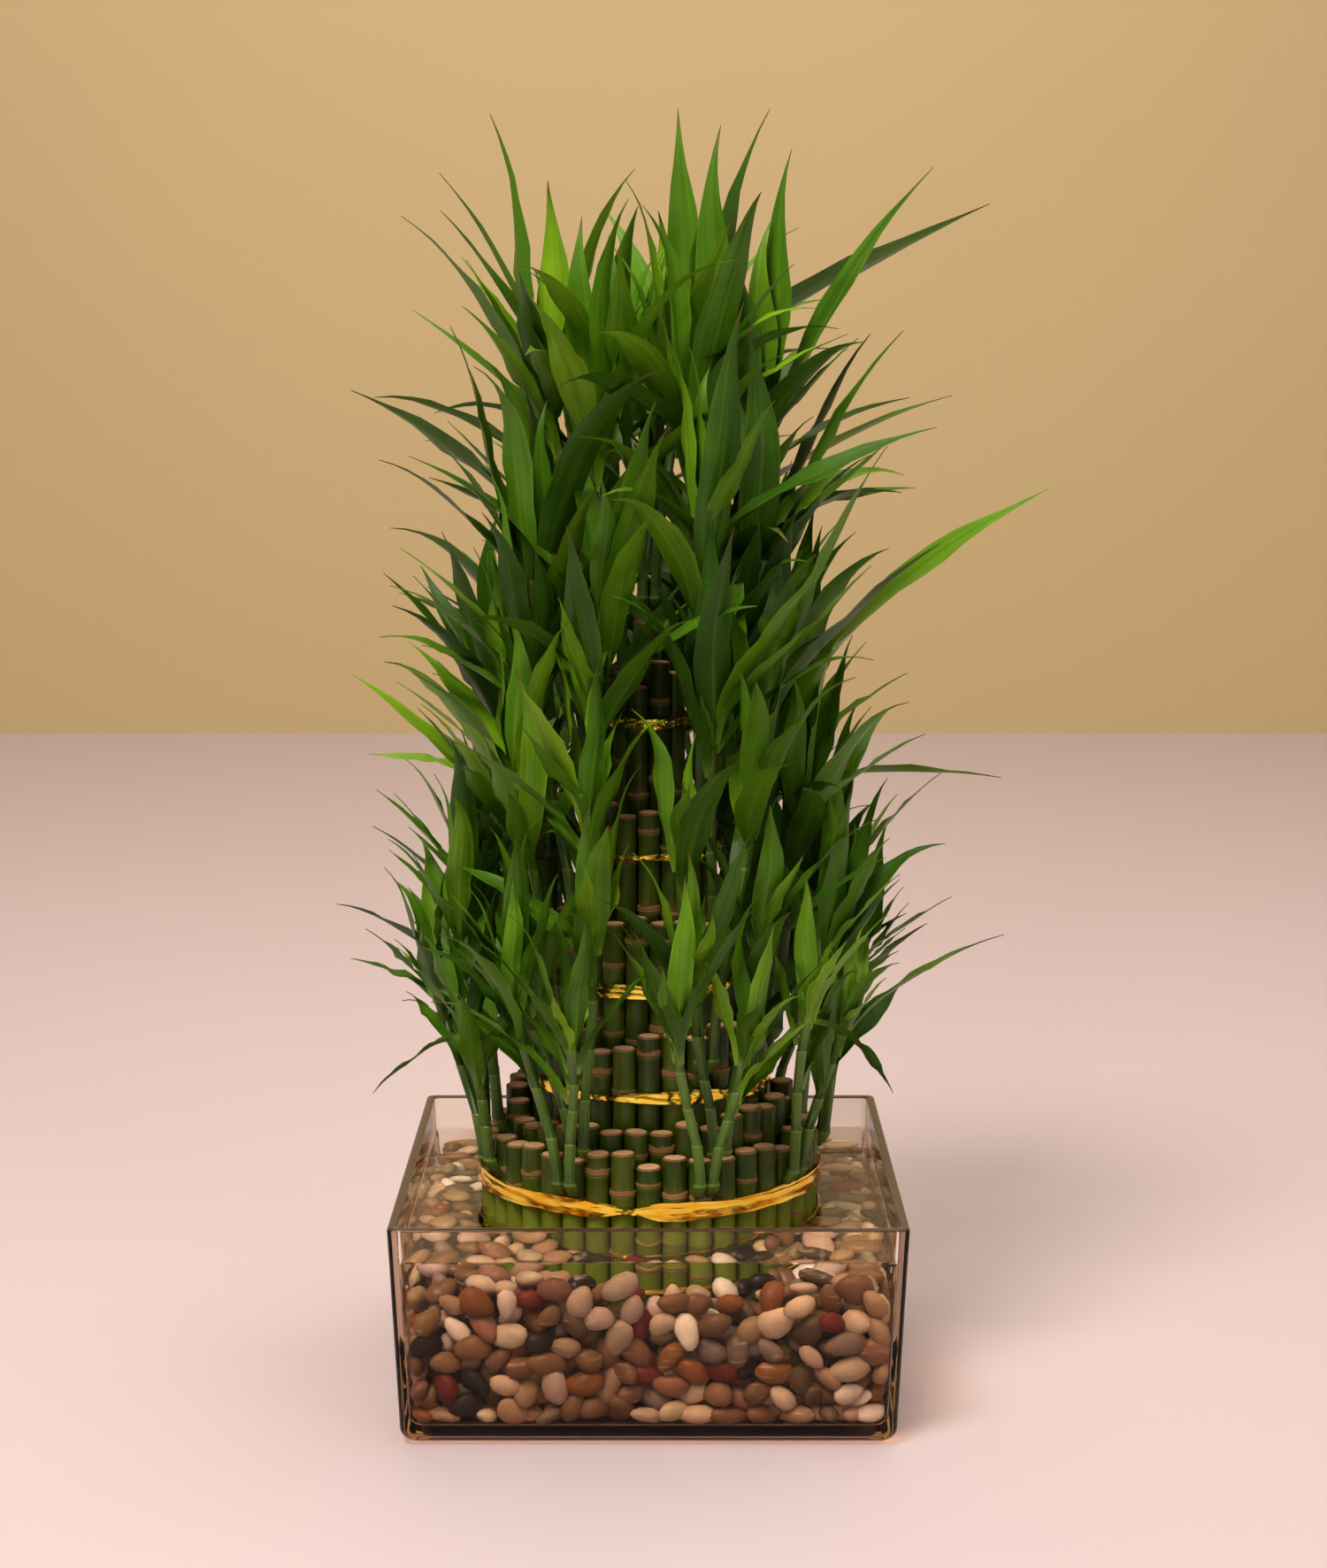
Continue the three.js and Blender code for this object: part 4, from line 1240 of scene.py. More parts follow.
class Shoots:
    """All leafy sprays, one piece for each bud."""

    LEAF = LeafSizes()
    DETAIL = StemDetail()
    FILLING = Filling()
    YOUNG = YoungLeaves()

    def __init__(self, layout: PlantLayout) -> None:
        """Models the masters.

        Args:
            layout: where the stems and blades stand.
        """
        self.layout = layout
        self.blade_finish = LeafFinish().material()
        self.stem_finish = StemFinish().material()
        leaf_sides = len(self.LEAF.across)
        rings = len(FOOT_RINGS) + self.DETAIL.sheaths * self.DETAIL.per_sheath + 1
        self.leaf = tube_master("leaf_master", leaf_sides, len(self.LEAF.stations))
        self.stem = tube_master("stem_master", self.DETAIL.sides, rings)
        self.leaf_grid = self._grid(self.leaf, leaf_sides)
        self.stem_grid = self._grid(self.stem, self.DETAIL.sides)

    @staticmethod
    def _grid(master: Piece, sides: int) -> tuple[Points, Points]:
        """Returns each point's ring and its number in the ring."""
        points = points_of(master)
        turns = np.arctan2(points[:, 1], points[:, 0]) / TURN * sides
        return np.rint(points[:, 2]).astype(int), np.rint(turns).astype(int) % sides

    def _leaf(self, blade: Blade, look: tuple[float, float, float]) -> Piece:
        """Returns one leaf along its midrib.

        Args:
            blade: its place.
            look: its age, the dryness of its tip and a draw of its own.

        Returns:
            The leaf.
        """
        size = self.LEAF
        share = np.array(size.stations)
        middle, side, face = blade.frame_at(share)
        drawn = np.clip((share - size.drawn_from) / size.drawn_over, 0, 1)
        swell = 1 - size.drawn_by * drawn * drawn * (3 - 2 * drawn)
        swell = half_width_share(np.minimum(share, 0.995)) * swell
        foot = size.neck_half + (size.foot_half - size.neck_half) * from_root(share, size.foot_share)
        foot = foot * np.clip((1 - share) / size.neck_share, 0, 1) ** 2
        half = ((0.5 * blade.width * swell) ** 4 + foot**4) ** 0.25 + size.point * share
        clasp = size.fold + (size.clasp - size.fold) * from_root(share, size.clasp_share) ** 1.5
        thick = 0.5 * size.thickness * (1 + 1.2 * from_root(share, size.thick_share)) * (1 - 0.6 * share)
        ring, number = self.leaf_grid
        across = np.array(size.across)[number]
        layer = np.array(size.layer)[number]
        sign = np.sign(across)
        at = share[ring]
        wave = BLADE.wave * np.sin(blade.ripple * at + sign * blade.phase)
        flutter = size.flutter * np.sin(2.3 * blade.ripple * at + sign * 2.1 * blade.phase)
        wave = (wave + flutter) * swell[ring]
        bend = clasp[ring]
        out = across * half[ring] * np.cos(bend)
        lift = np.abs(across) * half[ring] * np.sin(bend) + np.abs(across) ** 1.5 * wave
        keel = BLADE.keel * 0.6 * (1.3 - at) * (number == size.rib_corner)
        bow = np.sin(math.pi * at)
        lift = lift + layer * thick[ring] - keel + size.bend * np.sin(TURN * at + blade.phase) * bow
        out = out + size.bend * 1.4 * np.sin(1.7 * math.pi * at + 3 * blade.phase) * bow
        leaf = copy_of(self.leaf, "leaf")
        set_points(leaf, middle[ring] + side[ring] * out[:, None] + face[ring] * lift[:, None])
        set_uv(leaf, np.stack([0.5 + 0.5 * across, at], 1))
        set_look(leaf, "look", np.tile(look, (len(ring), 1)))
        leaf.data.materials.append(self.blade_finish)
        return leaf

    def _stem(self, stem: Stem, draws: Draws) -> Piece:
        """Returns one stem with the sheaths that wrap it."""
        detail = self.DETAIL
        foot = stem.path.at(0.0)
        inward = polar(1.0, stem.bud_angle, 0.0)
        sideways = polar(detail.apart, stem.bud_angle + (0.5 if stem.side else -0.5) * math.pi, 0.0)
        centres = [foot - inward * back - (0, 0, down) for back, down, _, _, _ in FOOT_RINGS]
        radii = [radius for _, _, radius, _, _ in FOOT_RINGS]
        looks = [(light, lip) for _, _, _, light, lip in FOOT_RINGS]
        edges = np.cumsum([0.0] + [draws.between(0.7, 1.3) for _ in range(detail.sheaths)])
        edges = 0.05 + 0.92 * edges / edges[-1]
        for low, high in zip(edges[:-1], edges[1:]):
            sheath = (
                (low + 0.005, -0.1, 0.25, 0.0),
                (high - 0.012, 0.8, 0.75, 0.6),
                (high, 1.0, 0.9, 1.0),
            )
            for share, extra, light, lip in sheath:
                centres.append(stem.path.at(share) - sideways * (1 - max(1 - share / 0.4, 0.0) ** 2))
                radii.append(stem_radius(share) + detail.lip * extra - detail.skin)
                looks.append((light, lip))
        centres.append(stem.path.at(1.0) + (0, 0, detail.tip_rise))
        radii.append(detail.tip_radius)
        looks.append((0.9, 0.0))
        ring, number = self.stem_grid
        turns = number / detail.sides * TURN
        spread = np.array(radii)[ring]
        centres = np.array(centres) + sideways
        centres[-1] -= sideways
        points = centres[ring]
        points = points + np.stack([np.cos(turns) * spread, np.sin(turns) * spread, np.zeros(len(ring))], 1)
        piece = copy_of(self.stem, "stem")
        set_points(piece, points)
        set_uv(piece, np.stack([np.abs(np.sin(turns / 2)), ring / ring.max()], 1))
        chance = draws.next()
        looks = np.array(looks)[ring]
        set_look(piece, "look", np.column_stack([looks, np.full(len(ring), chance)]))
        piece.data.materials.append(self.stem_finish)
        return piece

    def _young_leaves(self, stem: Stem, draws: Draws) -> list[Blade]:
        """Returns the short steep leaves in the heart of a crown."""
        habit = self.YOUNG
        leaves = []
        crown = stem.path.at(1.0)
        longest = ROWS[stem.level].blade[0]
        for number in range(habit.count):
            heading = stem.outward + number * BLADE.golden_turn + draws.sway(0.5)
            rise = habit.rise + habit.rise_step * number + draws.sway(0.14)
            length = longest * (habit.length - habit.length_step * number + draws.sway(0.08))
            root = crown + polar(habit.off_middle, heading, -habit.below_top)
            droop = draws.between(0.05, 0.3)
            spine = blade_spine(root, heading, min(rise, habit.steepest), length, droop, draws.sway(0.15))
            width = length * BLADE.aspect * (habit.width - habit.width_step * number)
            roll = draws.sway(0.5)
            leaves.append(Blade(spine, heading, width, roll, habit.ripple, draws.between(0.4, 1.6)))
        return leaves

    def _clear_of_canes(self, points: Points) -> bool:
        """Returns whether points lie outside the bowl and the tied canes."""
        habit = self.FILLING
        x, y, z = points.T
        reach = np.zeros(len(points))
        for row in reversed(ROWS):
            reach = np.where(z < row.top + habit.above_row, row.ring + habit.off_row, reach)
        return bool(((np.hypot(x, y) > reach) & (z > BOWL_HEIGHT + habit.above_bowl)).all())

    def _veils(self, points: Points) -> bool:
        """Returns whether a leaf would hide the ties in front."""
        habit = self.FILLING
        x, y, z = points.T
        return bool(((np.abs(x) < habit.front_half) & (y < 0) & (z < habit.front_top)).any())

    def _may_fill(self, points: Points) -> bool:
        """Returns whether a leaf with its midrib through some points has a free place."""
        habit = self.FILLING
        reach = np.hypot(points[:, 0], points[:, 1]).max()
        if reach > habit.widest or points[-1, 2] > habit.highest:
            return False
        return self._clear_of_canes(points) and not self._veils(points)

    def _filling_leaf(self, stem: Stem, draws: Draws) -> Blade:
        """Returns a leaf anywhere on the upper half of a stem."""
        habit = self.FILLING
        heading = stem.outward + draws.sway(habit.turn)
        root = stem.path.at(draws.between(0.5, 0.97)) + polar(habit.off_stem, heading, 0.0)
        length = draws.between(*ROWS[stem.level].blade) * draws.between(0.75, 1.0)
        rise = draws.between(*(habit.high_rise if stem.level >= habit.high_level else habit.low_rise))
        spine = blade_spine(root, heading, rise, length, draws.between(0.2, 0.9), draws.sway(0.3))
        width = length * BLADE.aspect * draws.between(0.85, 1.05)
        roll = draws.sway(0.8)
        ripple = draws.between(9, 15)
        return Blade(spine, heading, width, roll, ripple, draws.between(0.4, 1.6))

    def _filling_leaves(self) -> dict[int, list[Blade]]:
        """Returns the leaves that fill the widest gaps round each stem, by its number."""
        probes = np.array([0.3, 0.5, 0.7, 0.9])
        stems = self.layout.stems
        taken = np.concatenate([blade.spine.at(probes) for stem in stems for blade in stem.blades])
        found: dict[int, list[Blade]] = {stem.number: [] for stem in stems}
        for number in range(self.FILLING.per_stem):
            for stem in stems:
                draws = Draws(Seed.FILLING.value + stem.number * 10 + number)
                best, room = None, 0.0
                for _ in range(self.FILLING.tries):
                    blade = self._filling_leaf(stem, draws)
                    points = blade.spine.at(probes)
                    if not self._may_fill(points):
                        continue
                    gap = np.linalg.norm(points[:, None] - taken[None], axis=2).min()
                    if gap > room:
                        best, room = blade, gap
                if best:
                    found[stem.number].append(best)
                    taken = np.concatenate([taken, best.spine.at(probes)])
        return found

    def build(self) -> None:
        """Models every spray."""
        filling = self._filling_leaves()
        sprays: dict[tuple[int, int], list[Stem]] = {}
        for stem in self.layout.stems:
            sprays.setdefault((stem.level, stem.spray), []).append(stem)
        for (level, spray), stems in sprays.items():
            parts = []
            for stem in stems:
                draws = Draws(Seed.SHOOT_LOOK.value + stem.number)
                parts.append(self._stem(stem, draws))
                tone = draws.sway(0.15)
                for blade in stem.blades:
                    order = (blade.site.ring - 3) / 2
                    age = 0.24 + 0.30 * order + tone + draws.sway(0.32)
                    dryness = 1.0 if draws.next() < 0.45 else 0.0
                    parts.append(self._leaf(blade, (age, dryness * draws.between(0.5, 1.0), draws.next())))
                for blade in filling[stem.number]:
                    look = (0.30 + tone + draws.sway(0.30), draws.between(0, 0.8), draws.next())
                    parts.append(self._leaf(blade, look))
                for blade in self._young_leaves(stem, draws):
                    parts.append(self._leaf(blade, (0.50 + draws.sway(0.32), 0.0, draws.next())))
            name = spray_name(level, spray)
            piece = join(parts, f"leafy_spray_{name}")
            smooth(piece, 50)
            place(piece, [f"shoots_{name}"])
        bpy.data.objects.remove(self.leaf)
        bpy.data.objects.remove(self.stem)


# The canes


@dataclass(frozen=True)
class CaneSizes:
    """Sizes of the fine canes, in millimetres."""

    sides: int = 14
    snugness: float = 0.474
    lone_radius: float = 6.2
    node_gap: tuple[float, float] = (30.0, 52.0)
    top_gap: tuple[float, float] = (7.0, 26.0)
    node_swell: float = 0.45
    bevel: float = 0.7
    foot: float = 8.6
    lowest_node: float = 14.6
    unevenness: float = 7.0
    collar: tuple[float, float] = (1.0, 3.0)
    collared: float = 0.4


class Canes:
    """The rings of cut canes."""

    SIZE = CaneSizes()

    def __init__(self, layout: PlantLayout) -> None:
        """Keeps the layout.

        Args:
            layout: where the canes stand.
        """
        self.layout = layout
        self.finish = CaneFinish().material()

    def _profile(self, top: float, draws: Draws) -> Points:
        """Returns a cane's rings from its foot to its cut end.

        Args:
            top: height of the cut end.
            draws: the cane's own stream.

        Returns:
            Rows of height, change of radius, raggedness, climb in the
            internode, scar, cut and rim.
        """
        size = self.SIZE
        nodes = [top - draws.between(*size.top_gap)]
        while nodes[-1] - size.node_gap[1] > size.lowest_node:
            nodes.append(nodes[-1] - draws.between(*size.node_gap))
        rings = [(size.foot, 0.0, 0.0, 0.0, 0.0, 0.0, 0.0)]
        swell = size.node_swell
        for node in reversed(nodes):
            rings += [
                (node - 3.0, 0.0, 0.0, 0.8, 0.0, 0.0, 0.0),
                (node - 0.9, swell * 0.9, 0.0, 1.0, 0.2, 0.0, 0.0),
                (node - 0.5, swell * 0.1, 0.1, 1.0, 1.0, 0.0, 0.0),
            ]
            if draws.next() < size.collared:
                lip = node + draws.between(*size.collar)
                rings += [
                    (node, swell + 0.25, 0.2, 0.3, 1.0, 0.0, 0.0),
                    (lip, swell + 0.1, 0.9, 0.0, 1.0, 0.0, 0.0),
                    (lip + 0.4, 0.0, 0.9, 0.0, 0.6, 0.0, 0.0),
                ]
            else:
                rings += [
                    (node, swell, 0.1, 0.3, 1.0, 0.0, 0.0),
                    (node + 1.0, swell * 0.8, 0.1, 0.0, 0.7, 0.0, 0.0),
                    (node + 2.6, 0.0, 0.0, 0.0, 0.0, 0.0, 0.0),
                ]
        rings += [
            (top - 1.6, 0.0, 0.0, 0.3, 0.0, 0.0, 0.0),
            (top - size.bevel, 0.1, 0.0, 0.3, 0.8, 0.0, 0.0),
            (top - 0.15, -0.25, 0.0, 0.3, 1.0, 0.6, 1.0),
            (top, -0.7, 0.0, 0.3, 1.0, 1.0, 1.0),
            (top, -1.3, 0.0, 0.3, 0.0, 1.0, 0.0),
            (top - 0.25, -4.0, 0.0, 0.3, 0.0, 1.0, 0.0),
        ]
        return np.array(rings)

    def _cane(self, place_at: Points, radius: float, top: float, draws: Draws) -> Piece:
        """Returns one cane.

        Args:
            place_at: the middle of its foot.
            radius: of its skin between two nodes.
            top: height of its cut end.
            draws: its own stream.

        Returns:
            The cane.
        """
        rings = self._profile(top, draws)
        cane = tube_master("cane", self.SIZE.sides, len(rings))
        points = points_of(cane)
        ring = np.rint(points[:, 2]).astype(int)
        level, swell, ragged, climb, scar, cut, rim = rings[ring].T
        turns = np.arctan2(points[:, 1], points[:, 0])
        oval = 1 + draws.between(-0.03, 0.0) * np.cos(2 * turns + draws.between(0, TURN))
        spread = (radius + swell) * oval
        tilt = draws.sway(0.05) * np.cos(turns + draws.between(0, TURN)) * radius
        tilt = tilt * (level > top - 1.0)
        torn = ripples(draws, (2, 3, 5))(turns)
        height = level + tilt + ragged * torn
        where = np.stack([np.cos(turns) * spread, np.sin(turns) * spread, height], 1)
        set_points(cane, where + place_at)
        around = np.full(len(ring), draws.between(0.25, 0.75))
        set_look(cane, "look", np.column_stack([climb, scar, around]))
        set_look(cane, "cut", np.column_stack([cut, rim, around]))
        cane.data.materials.append(self.finish)
        return cane

    def build(self) -> None:
        """Models every ring of canes."""
        for level, row in enumerate(ROWS):
            parts = []
            bearers = {bearing_cane(row, spray) for spray in range(row.sprays)}
            for index in range(row.canes):
                draws = Draws(Seed.CANE_LOOK.value + level * 50 + index)
                snug = self.SIZE.snugness * TURN * row.ring / row.canes
                radius = min(snug, self.SIZE.lone_radius) if row.canes > 1 else self.SIZE.lone_radius
                place_at = polar(row.ring, cane_angle(level, index), 0.0)
                top = self.layout.tops[level][index]
                top += 0.0 if index in bearers else draws.sway(self.SIZE.unevenness)
                parts.append(self._cane(place_at, radius, top, draws))
            lone = row.canes == 1
            name = "cane_centre" if lone else f"cane_row_{level + 1}"
            piece = join(parts, "middle_cane" if lone else f"canes_{level + 1}")
            smooth(piece, 35)
            place(piece, [name])


# The pebbles


@dataclass(frozen=True)
class PebbleSizes:
    """Sizes of the loose pebbles, in millimetres."""

    count: int = 1180
    shapes: int = 9
    stretch: tuple[float, float, float] = (1.46, 0.95, 0.70)
    scales: tuple[float, ...] = (0.78, 0.88, 0.97, 1.06, 1.2)
    scale_shares: tuple[float, ...] = (0.2, 0.25, 0.25, 0.2, 0.1)
    reach: float = 6.5
    strewn: tuple[tuple[float, ...], ...] = ((-112, -112, 14), (112, 112, 79))
    rounds: int = 70
    push: float = 0.32
    sink: float = 0.12
    squash: float = 0.80
    bundle: float = 90.5
    clearance: float = 0.5
    floor_clearance: float = 0.4
    lowest: float = 9.0
    near_face: float = 14.0
    taper: float = 0.22
    lean: float = 0.15
    dents: int = 3
    dent: float = 0.07
    dent_waves: float = 2.2
    turn_at_face: float = 0.28
    turn_within: float = 0.8
    rise_of_long_side: float = 0.55
    lightness: tuple[float, float] = (0.78, 1.15)
    tint: tuple[float, float] = (0.95, 1.05)


@dataclass(frozen=True)
class StoneKind:
    """A colour of stone and how common it is."""

    colour: Colour
    share: float


STONES = (
    StoneKind((0.600, 0.410, 0.270), 15),
    StoneKind((0.377, 0.218, 0.117), 14),
    StoneKind((0.530, 0.340, 0.250), 10),
    StoneKind((0.197, 0.093, 0.037), 14),
    StoneKind((0.230, 0.080, 0.019), 9),
    StoneKind((0.246, 0.109, 0.058), 8),
    StoneKind((0.205, 0.134, 0.090), 9),
    StoneKind((0.115, 0.064, 0.029), 9),
    StoneKind((0.164, 0.022, 0.010), 3),
    StoneKind((0.020, 0.012, 0.008), 6),
    StoneKind((0.880, 0.700, 0.560), 8),
)


class Pebbles:
    """The loose river pebbles round the canes."""

    SIZE = PebbleSizes()

    def __init__(self) -> None:
        """Models the shapes that the stones are copied from."""
        self.random = np.random.default_rng(Seed.PEBBLE.value)
        self.shapes = [self._shape(number) for number in range(self.SIZE.shapes)]

    def _shape(self, number: int) -> Points:
        """Returns the points of one rounded uneven stone of unit radius."""
        size = self.SIZE
        start_clean()
        bpy.ops.mesh.primitive_ico_sphere_add(subdivisions=2, radius=1.0, location=(0, 0, 0))
        stone = bpy.context.object
        stone.name = f"stone_{number}"
        open_for_editing(stone)
        bpy.ops.transform.resize(value=size.stretch)
        close_editing()
        points = points_of(stone)
        if number == 0:
            self.master = stone
        else:
            bpy.data.objects.remove(stone)
        taper = self.random.uniform(-size.taper, size.taper)
        lean = self.random.uniform(-size.lean, size.lean)
        points[:, 1] *= 1 + taper * points[:, 0]
        points[:, 2] *= 1 + lean * points[:, 0]
        for _ in range(size.dents):
            way = unit(self.random.normal(size=3))
            wave = np.sin(size.dent_waves * points @ way + self.random.uniform(0, TURN))
            points *= (1 + size.dent * wave)[:, None]
        return points

    def _settle(self) -> Points:
        """Returns the middles of stones pressed apart inside the bowl."""
        size = self.SIZE
        spots = np.zeros((0, 3))
        while len(spots) < size.count:
            tries = self.random.uniform(*size.strewn, (size.count, 3))
            spots = np.concatenate([spots, tries[np.hypot(tries[:, 0], tries[:, 1]) > size.bundle + 5]])
        spots = spots[: size.count]
        reach = size.reach * size.squash
        for _ in range(size.rounds):
            gaps = spots[:, None] - spots[None]
            distance = np.sqrt((gaps**2).sum(2)) + 1e-6
            np.fill_diagonal(distance, 99)
            push = np.clip(2 * size.reach - distance, 0, None) / distance
            spots = spots + size.push * (gaps * push[..., None]).sum(1)
            spots[:, 2] -= size.sink
            half = inner_half(spots[:, 2]) - reach
            spots[:, 0] = np.clip(spots[:, 0], -half, half)
            spots[:, 1] = np.clip(spots[:, 1], -half, half)
            spots[:, 2] = np.clip(spots[:, 2], BOWL_FLOOR + reach, PEBBLE_TOP - reach)
            out = np.hypot(spots[:, 0], spots[:, 1])
            inside = out < size.bundle + reach
            spots[inside, :2] *= ((size.bundle + reach) / out[inside])[:, None]
        return spots

    def _turned(self, spot: Points) -> Points:
        """Returns a stone's axes: its flat side lies on the nearest wall, floor or top."""
        size = self.SIZE
        half = inner_half(spot[2])
        faces = {
            (1.0, 0.0, 0.0): half - abs(spot[0]),
            (0.0, 1.0, 0.0): half - abs(spot[1]),
            (0.0, 0.0, 1.0): min(spot[2] - BOWL_FLOOR, PEBBLE_TOP + 2 - spot[2]),
        }
        nearest = min(faces, key=faces.get)
        loose = size.turn_at_face if faces[nearest] < size.near_face else size.turn_within
        thin = unit(np.array(nearest) + self.random.normal(size=3) * loose)
        aim = self.random.normal(size=3) * (1.0, 1.0, size.rise_of_long_side)
        long = unit(aim - thin * (aim @ thin))
        return np.stack([long, np.cross(thin, long), thin])

    def build(self) -> None:
        """Models all stones as one bed."""
        size = self.SIZE
        spots = self._settle()
        mesh = self.master.data
        faces = np.array([tuple(face.vertices) for face in mesh.polygons])
        shares = np.array([kind.share for kind in STONES], float)
        all_points, all_faces, stones, grains = [], [], [], []
        for number, spot in enumerate(spots):
            shape = self.shapes[number % size.shapes]
            axes = self._turned(spot)
            scale = size.reach * self.random.choice(size.scales, p=size.scale_shares)
            stone = (shape * scale) @ axes
            low, high = stone.min(0), stone.max(0)
            half = inner_half(max(spot[2] + low[2], size.lowest)) - size.clearance
            least = (-half - low[0], -half - low[1], BOWL_FLOOR + size.floor_clearance - low[2])
            spot = np.clip(spot, least, (half - high[0], half - high[1], BOWL_HEIGHT))
            all_faces.append(faces + len(stone) * number)
            all_points.append(stone + spot)
            kind = STONES[self.random.choice(len(STONES), p=shares / shares.sum())]
            tone = np.array(kind.colour) * self.random.uniform(*size.lightness)
            tone = tone * self.random.uniform(*size.tint, 3)
            stones.append(np.tile(tone, (len(stone), 1)))
            grains.append(np.tile(self.random.uniform(size=3), (len(stone), 1)))
        bed = bpy.data.meshes.new("river_pebbles")
        bed.from_pydata((np.concatenate(all_points) * MM).tolist(), [], np.concatenate(all_faces).tolist())
        piece = bpy.data.objects.new("river_pebbles", bed)
        bpy.context.collection.objects.link(piece)
        set_look(piece, "stone", np.concatenate(stones))
        set_look(piece, "grain", np.concatenate(grains))
        bed.materials.append(PebbleFinish().material())
        smooth(piece, 80)
        place(piece, ["pebble_bed"])
        bpy.data.objects.remove(self.master)


# The bowl and the water


@dataclass(frozen=True)
class BowlSizes:
    """Sizes of the glass bowl, in millimetres."""

    corner: float = 3.2
    corner_steps: int = 8
    foot_steps: int = 8
    rim_radius: float = 1.4
    rim_steps: int = 8
    inner_radius: float = 7.0
    wall_heights: tuple[float, ...] = (30.0, 60.0, 90.0)
    inner_heights: tuple[float, ...] = (WATER_LEVEL, 60.0, 30.0)
    rim_band: float = 1.0
    skin: float = 1.0
    looks_up: float = 0.2


@dataclass(frozen=True)
class WaterSizes:
    """Sizes of the water, in millimetres."""

    into_glass: float = 0.3
    below_floor: float = 0.2
    radius: float = 6.8
    foot_steps: int = 4
    middle: float = 50.0
    creep: tuple[tuple[float, float], ...] = ((0.0, 0.9), (0.5, 0.7), (1.4, 0.2), (3.2, 0.0))


class Glass(Enum):
    """The kinds of glass, by the place of their material on the bowl."""

    DRY = 0
    WETTED = 1
    RIM = 2


class Bowl:
    """The square glass bowl and the water in it."""

    SIZE = BowlSizes()
    WATER = WaterSizes()

    @staticmethod
    def _round(inset: float, floor: float, radius: float, steps: int) -> list[tuple[float, float]]:
        """Returns the rings of a round between a floor and the wall over it.

        Args:
            inset: how far inside the bowl's outer face the wall stands.
            floor: height of the floor.
            radius: of the round.
            steps: number of its parts.

        Returns:
            Half width and height of each ring, from the floor upwards.
        """
        rings = []
        for turn in np.linspace(0, math.pi / 2, steps + 1):
            z = floor + radius * (1 - math.cos(turn))
            rings.append((outer_half(z) - inset - radius * (1 - math.sin(turn)), z))
        return rings

    def _rounded_square(self, name: str, half: float, z: float) -> Piece:
        """Models a flat square with rounded corners."""
        start_clean()
        bpy.ops.mesh.primitive_plane_add(size=2 * half * MM, location=(0, 0, 0))
        square = bpy.context.object
        square.name = name
        open_for_editing(square)
        bpy.ops.transform.translate(value=(0, 0, z * MM))
        size = self.SIZE
        bpy.ops.mesh.bevel(
            affect="VERTICES", offset=size.corner * MM, segments=size.corner_steps, profile=0.5
        )
        bpy.ops.mesh.select_all(action="SELECT")
        return square

    @staticmethod
    def _follow(rings: Sequence[tuple[float, float]]) -> None:
        """Extrudes the selected face along a profile.

        Args:
            rings: half width and height of each ring; the first is there.
        """
        for (half, z), (next_half, next_z) in zip(rings[:-1], rings[1:]):
            bpy.ops.mesh.extrude_region_move(TRANSFORM_OT_translate={"value": (0, 0, (next_z - z) * MM)})
            share = next_half / half
            bpy.ops.transform.resize(value=(share, share, 1.0), center_override=(0, 0, 0))

    def _kind_of_glass(self, centre: Points, normal: Points) -> int:
        """Returns the number of the glass that a face is of."""
        size = self.SIZE
        if centre[2] > BOWL_HEIGHT - size.rim_band:
            return Glass.RIM.value
        near_inside = np.abs(centre[:2]).max() < inner_half(centre[2]) + size.skin
        looks_in = normal[2] > size.looks_up or centre[:2] @ normal[:2] < 0
        in_water = BOWL_FLOOR - size.skin < centre[2] < WATER_LEVEL
        return Glass.WETTED.value if near_inside and looks_in and in_water else Glass.DRY.value

    @staticmethod
    def _dress(
        piece: Piece, materials: list[Material], kind: Callable[[Points, Points], int]
    ) -> None:
        """Gives a piece materials by face.

        Args:
            piece: what they are for.
            materials: all of them.
            kind: which of them a face has, by its centre and normal.
        """
        for material in materials:
            piece.data.materials.append(material)
        for face in piece.data.polygons:
            centre = np.array(face.center) / MM
            face.material_index = int(kind(centre, np.array(face.normal)))

    def build_glass(self) -> None:
        """Models the bowl from its foot up, over the rim and down inside."""
        size = self.SIZE
        rings = self._round(0.0, 0.0, BOWL_FOOT_RADIUS, size.foot_steps)
        rings += [(outer_half(z), z) for z in size.wall_heights]
        for turn in np.linspace(0, math.pi, size.rim_steps + 1):
            z = BOWL_HEIGHT - size.rim_radius * (1 - math.sin(turn))
            inward = size.rim_radius * (1 - math.cos(turn))
            if turn > math.pi / 2:
                inward = BOWL_WALL - size.rim_radius * (1 + math.cos(turn))
            rings.append((outer_half(z) - inward, z))
        rings += [(inner_half(z), z) for z in size.inner_heights]
        rings += self._round(BOWL_WALL, BOWL_FLOOR, size.inner_radius, size.foot_steps)[::-1]
        bowl = self._rounded_square("smoky_bowl", rings[0][0], rings[0][1])
        self._follow(rings)
        close_editing()
        self._dress(bowl, GlassFinish().materials(), self._kind_of_glass)
        smooth(bowl, 30)
        place(bowl, ["glass_bowl"])

    def build_water(self) -> None:
        """Models the water, which creeps a little up the glass."""
        size = self.WATER
        inset = BOWL_WALL - size.into_glass
        rings = self._round(inset, BOWL_FLOOR - size.below_floor, size.radius, size.foot_steps)
        rings.append((outer_half(size.middle) - inset, size.middle))
        brim = WATER_LEVEL + size.creep[0][1]
        rings.append((outer_half(brim) - inset, brim))
        for inward, rise in size.creep[1:]:
            rings.append((outer_half(WATER_LEVEL) - inset - inward, WATER_LEVEL + rise))
        water = self._rounded_square("bowl_water", rings[0][0], rings[0][1])
        self._follow(rings)
        close_editing()
        self._dress(water, WaterFinish().materials(), lambda centre, normal: normal[2] < 0.3)
        smooth(water, 40)
        place(water, ["water"])


# The ribbons


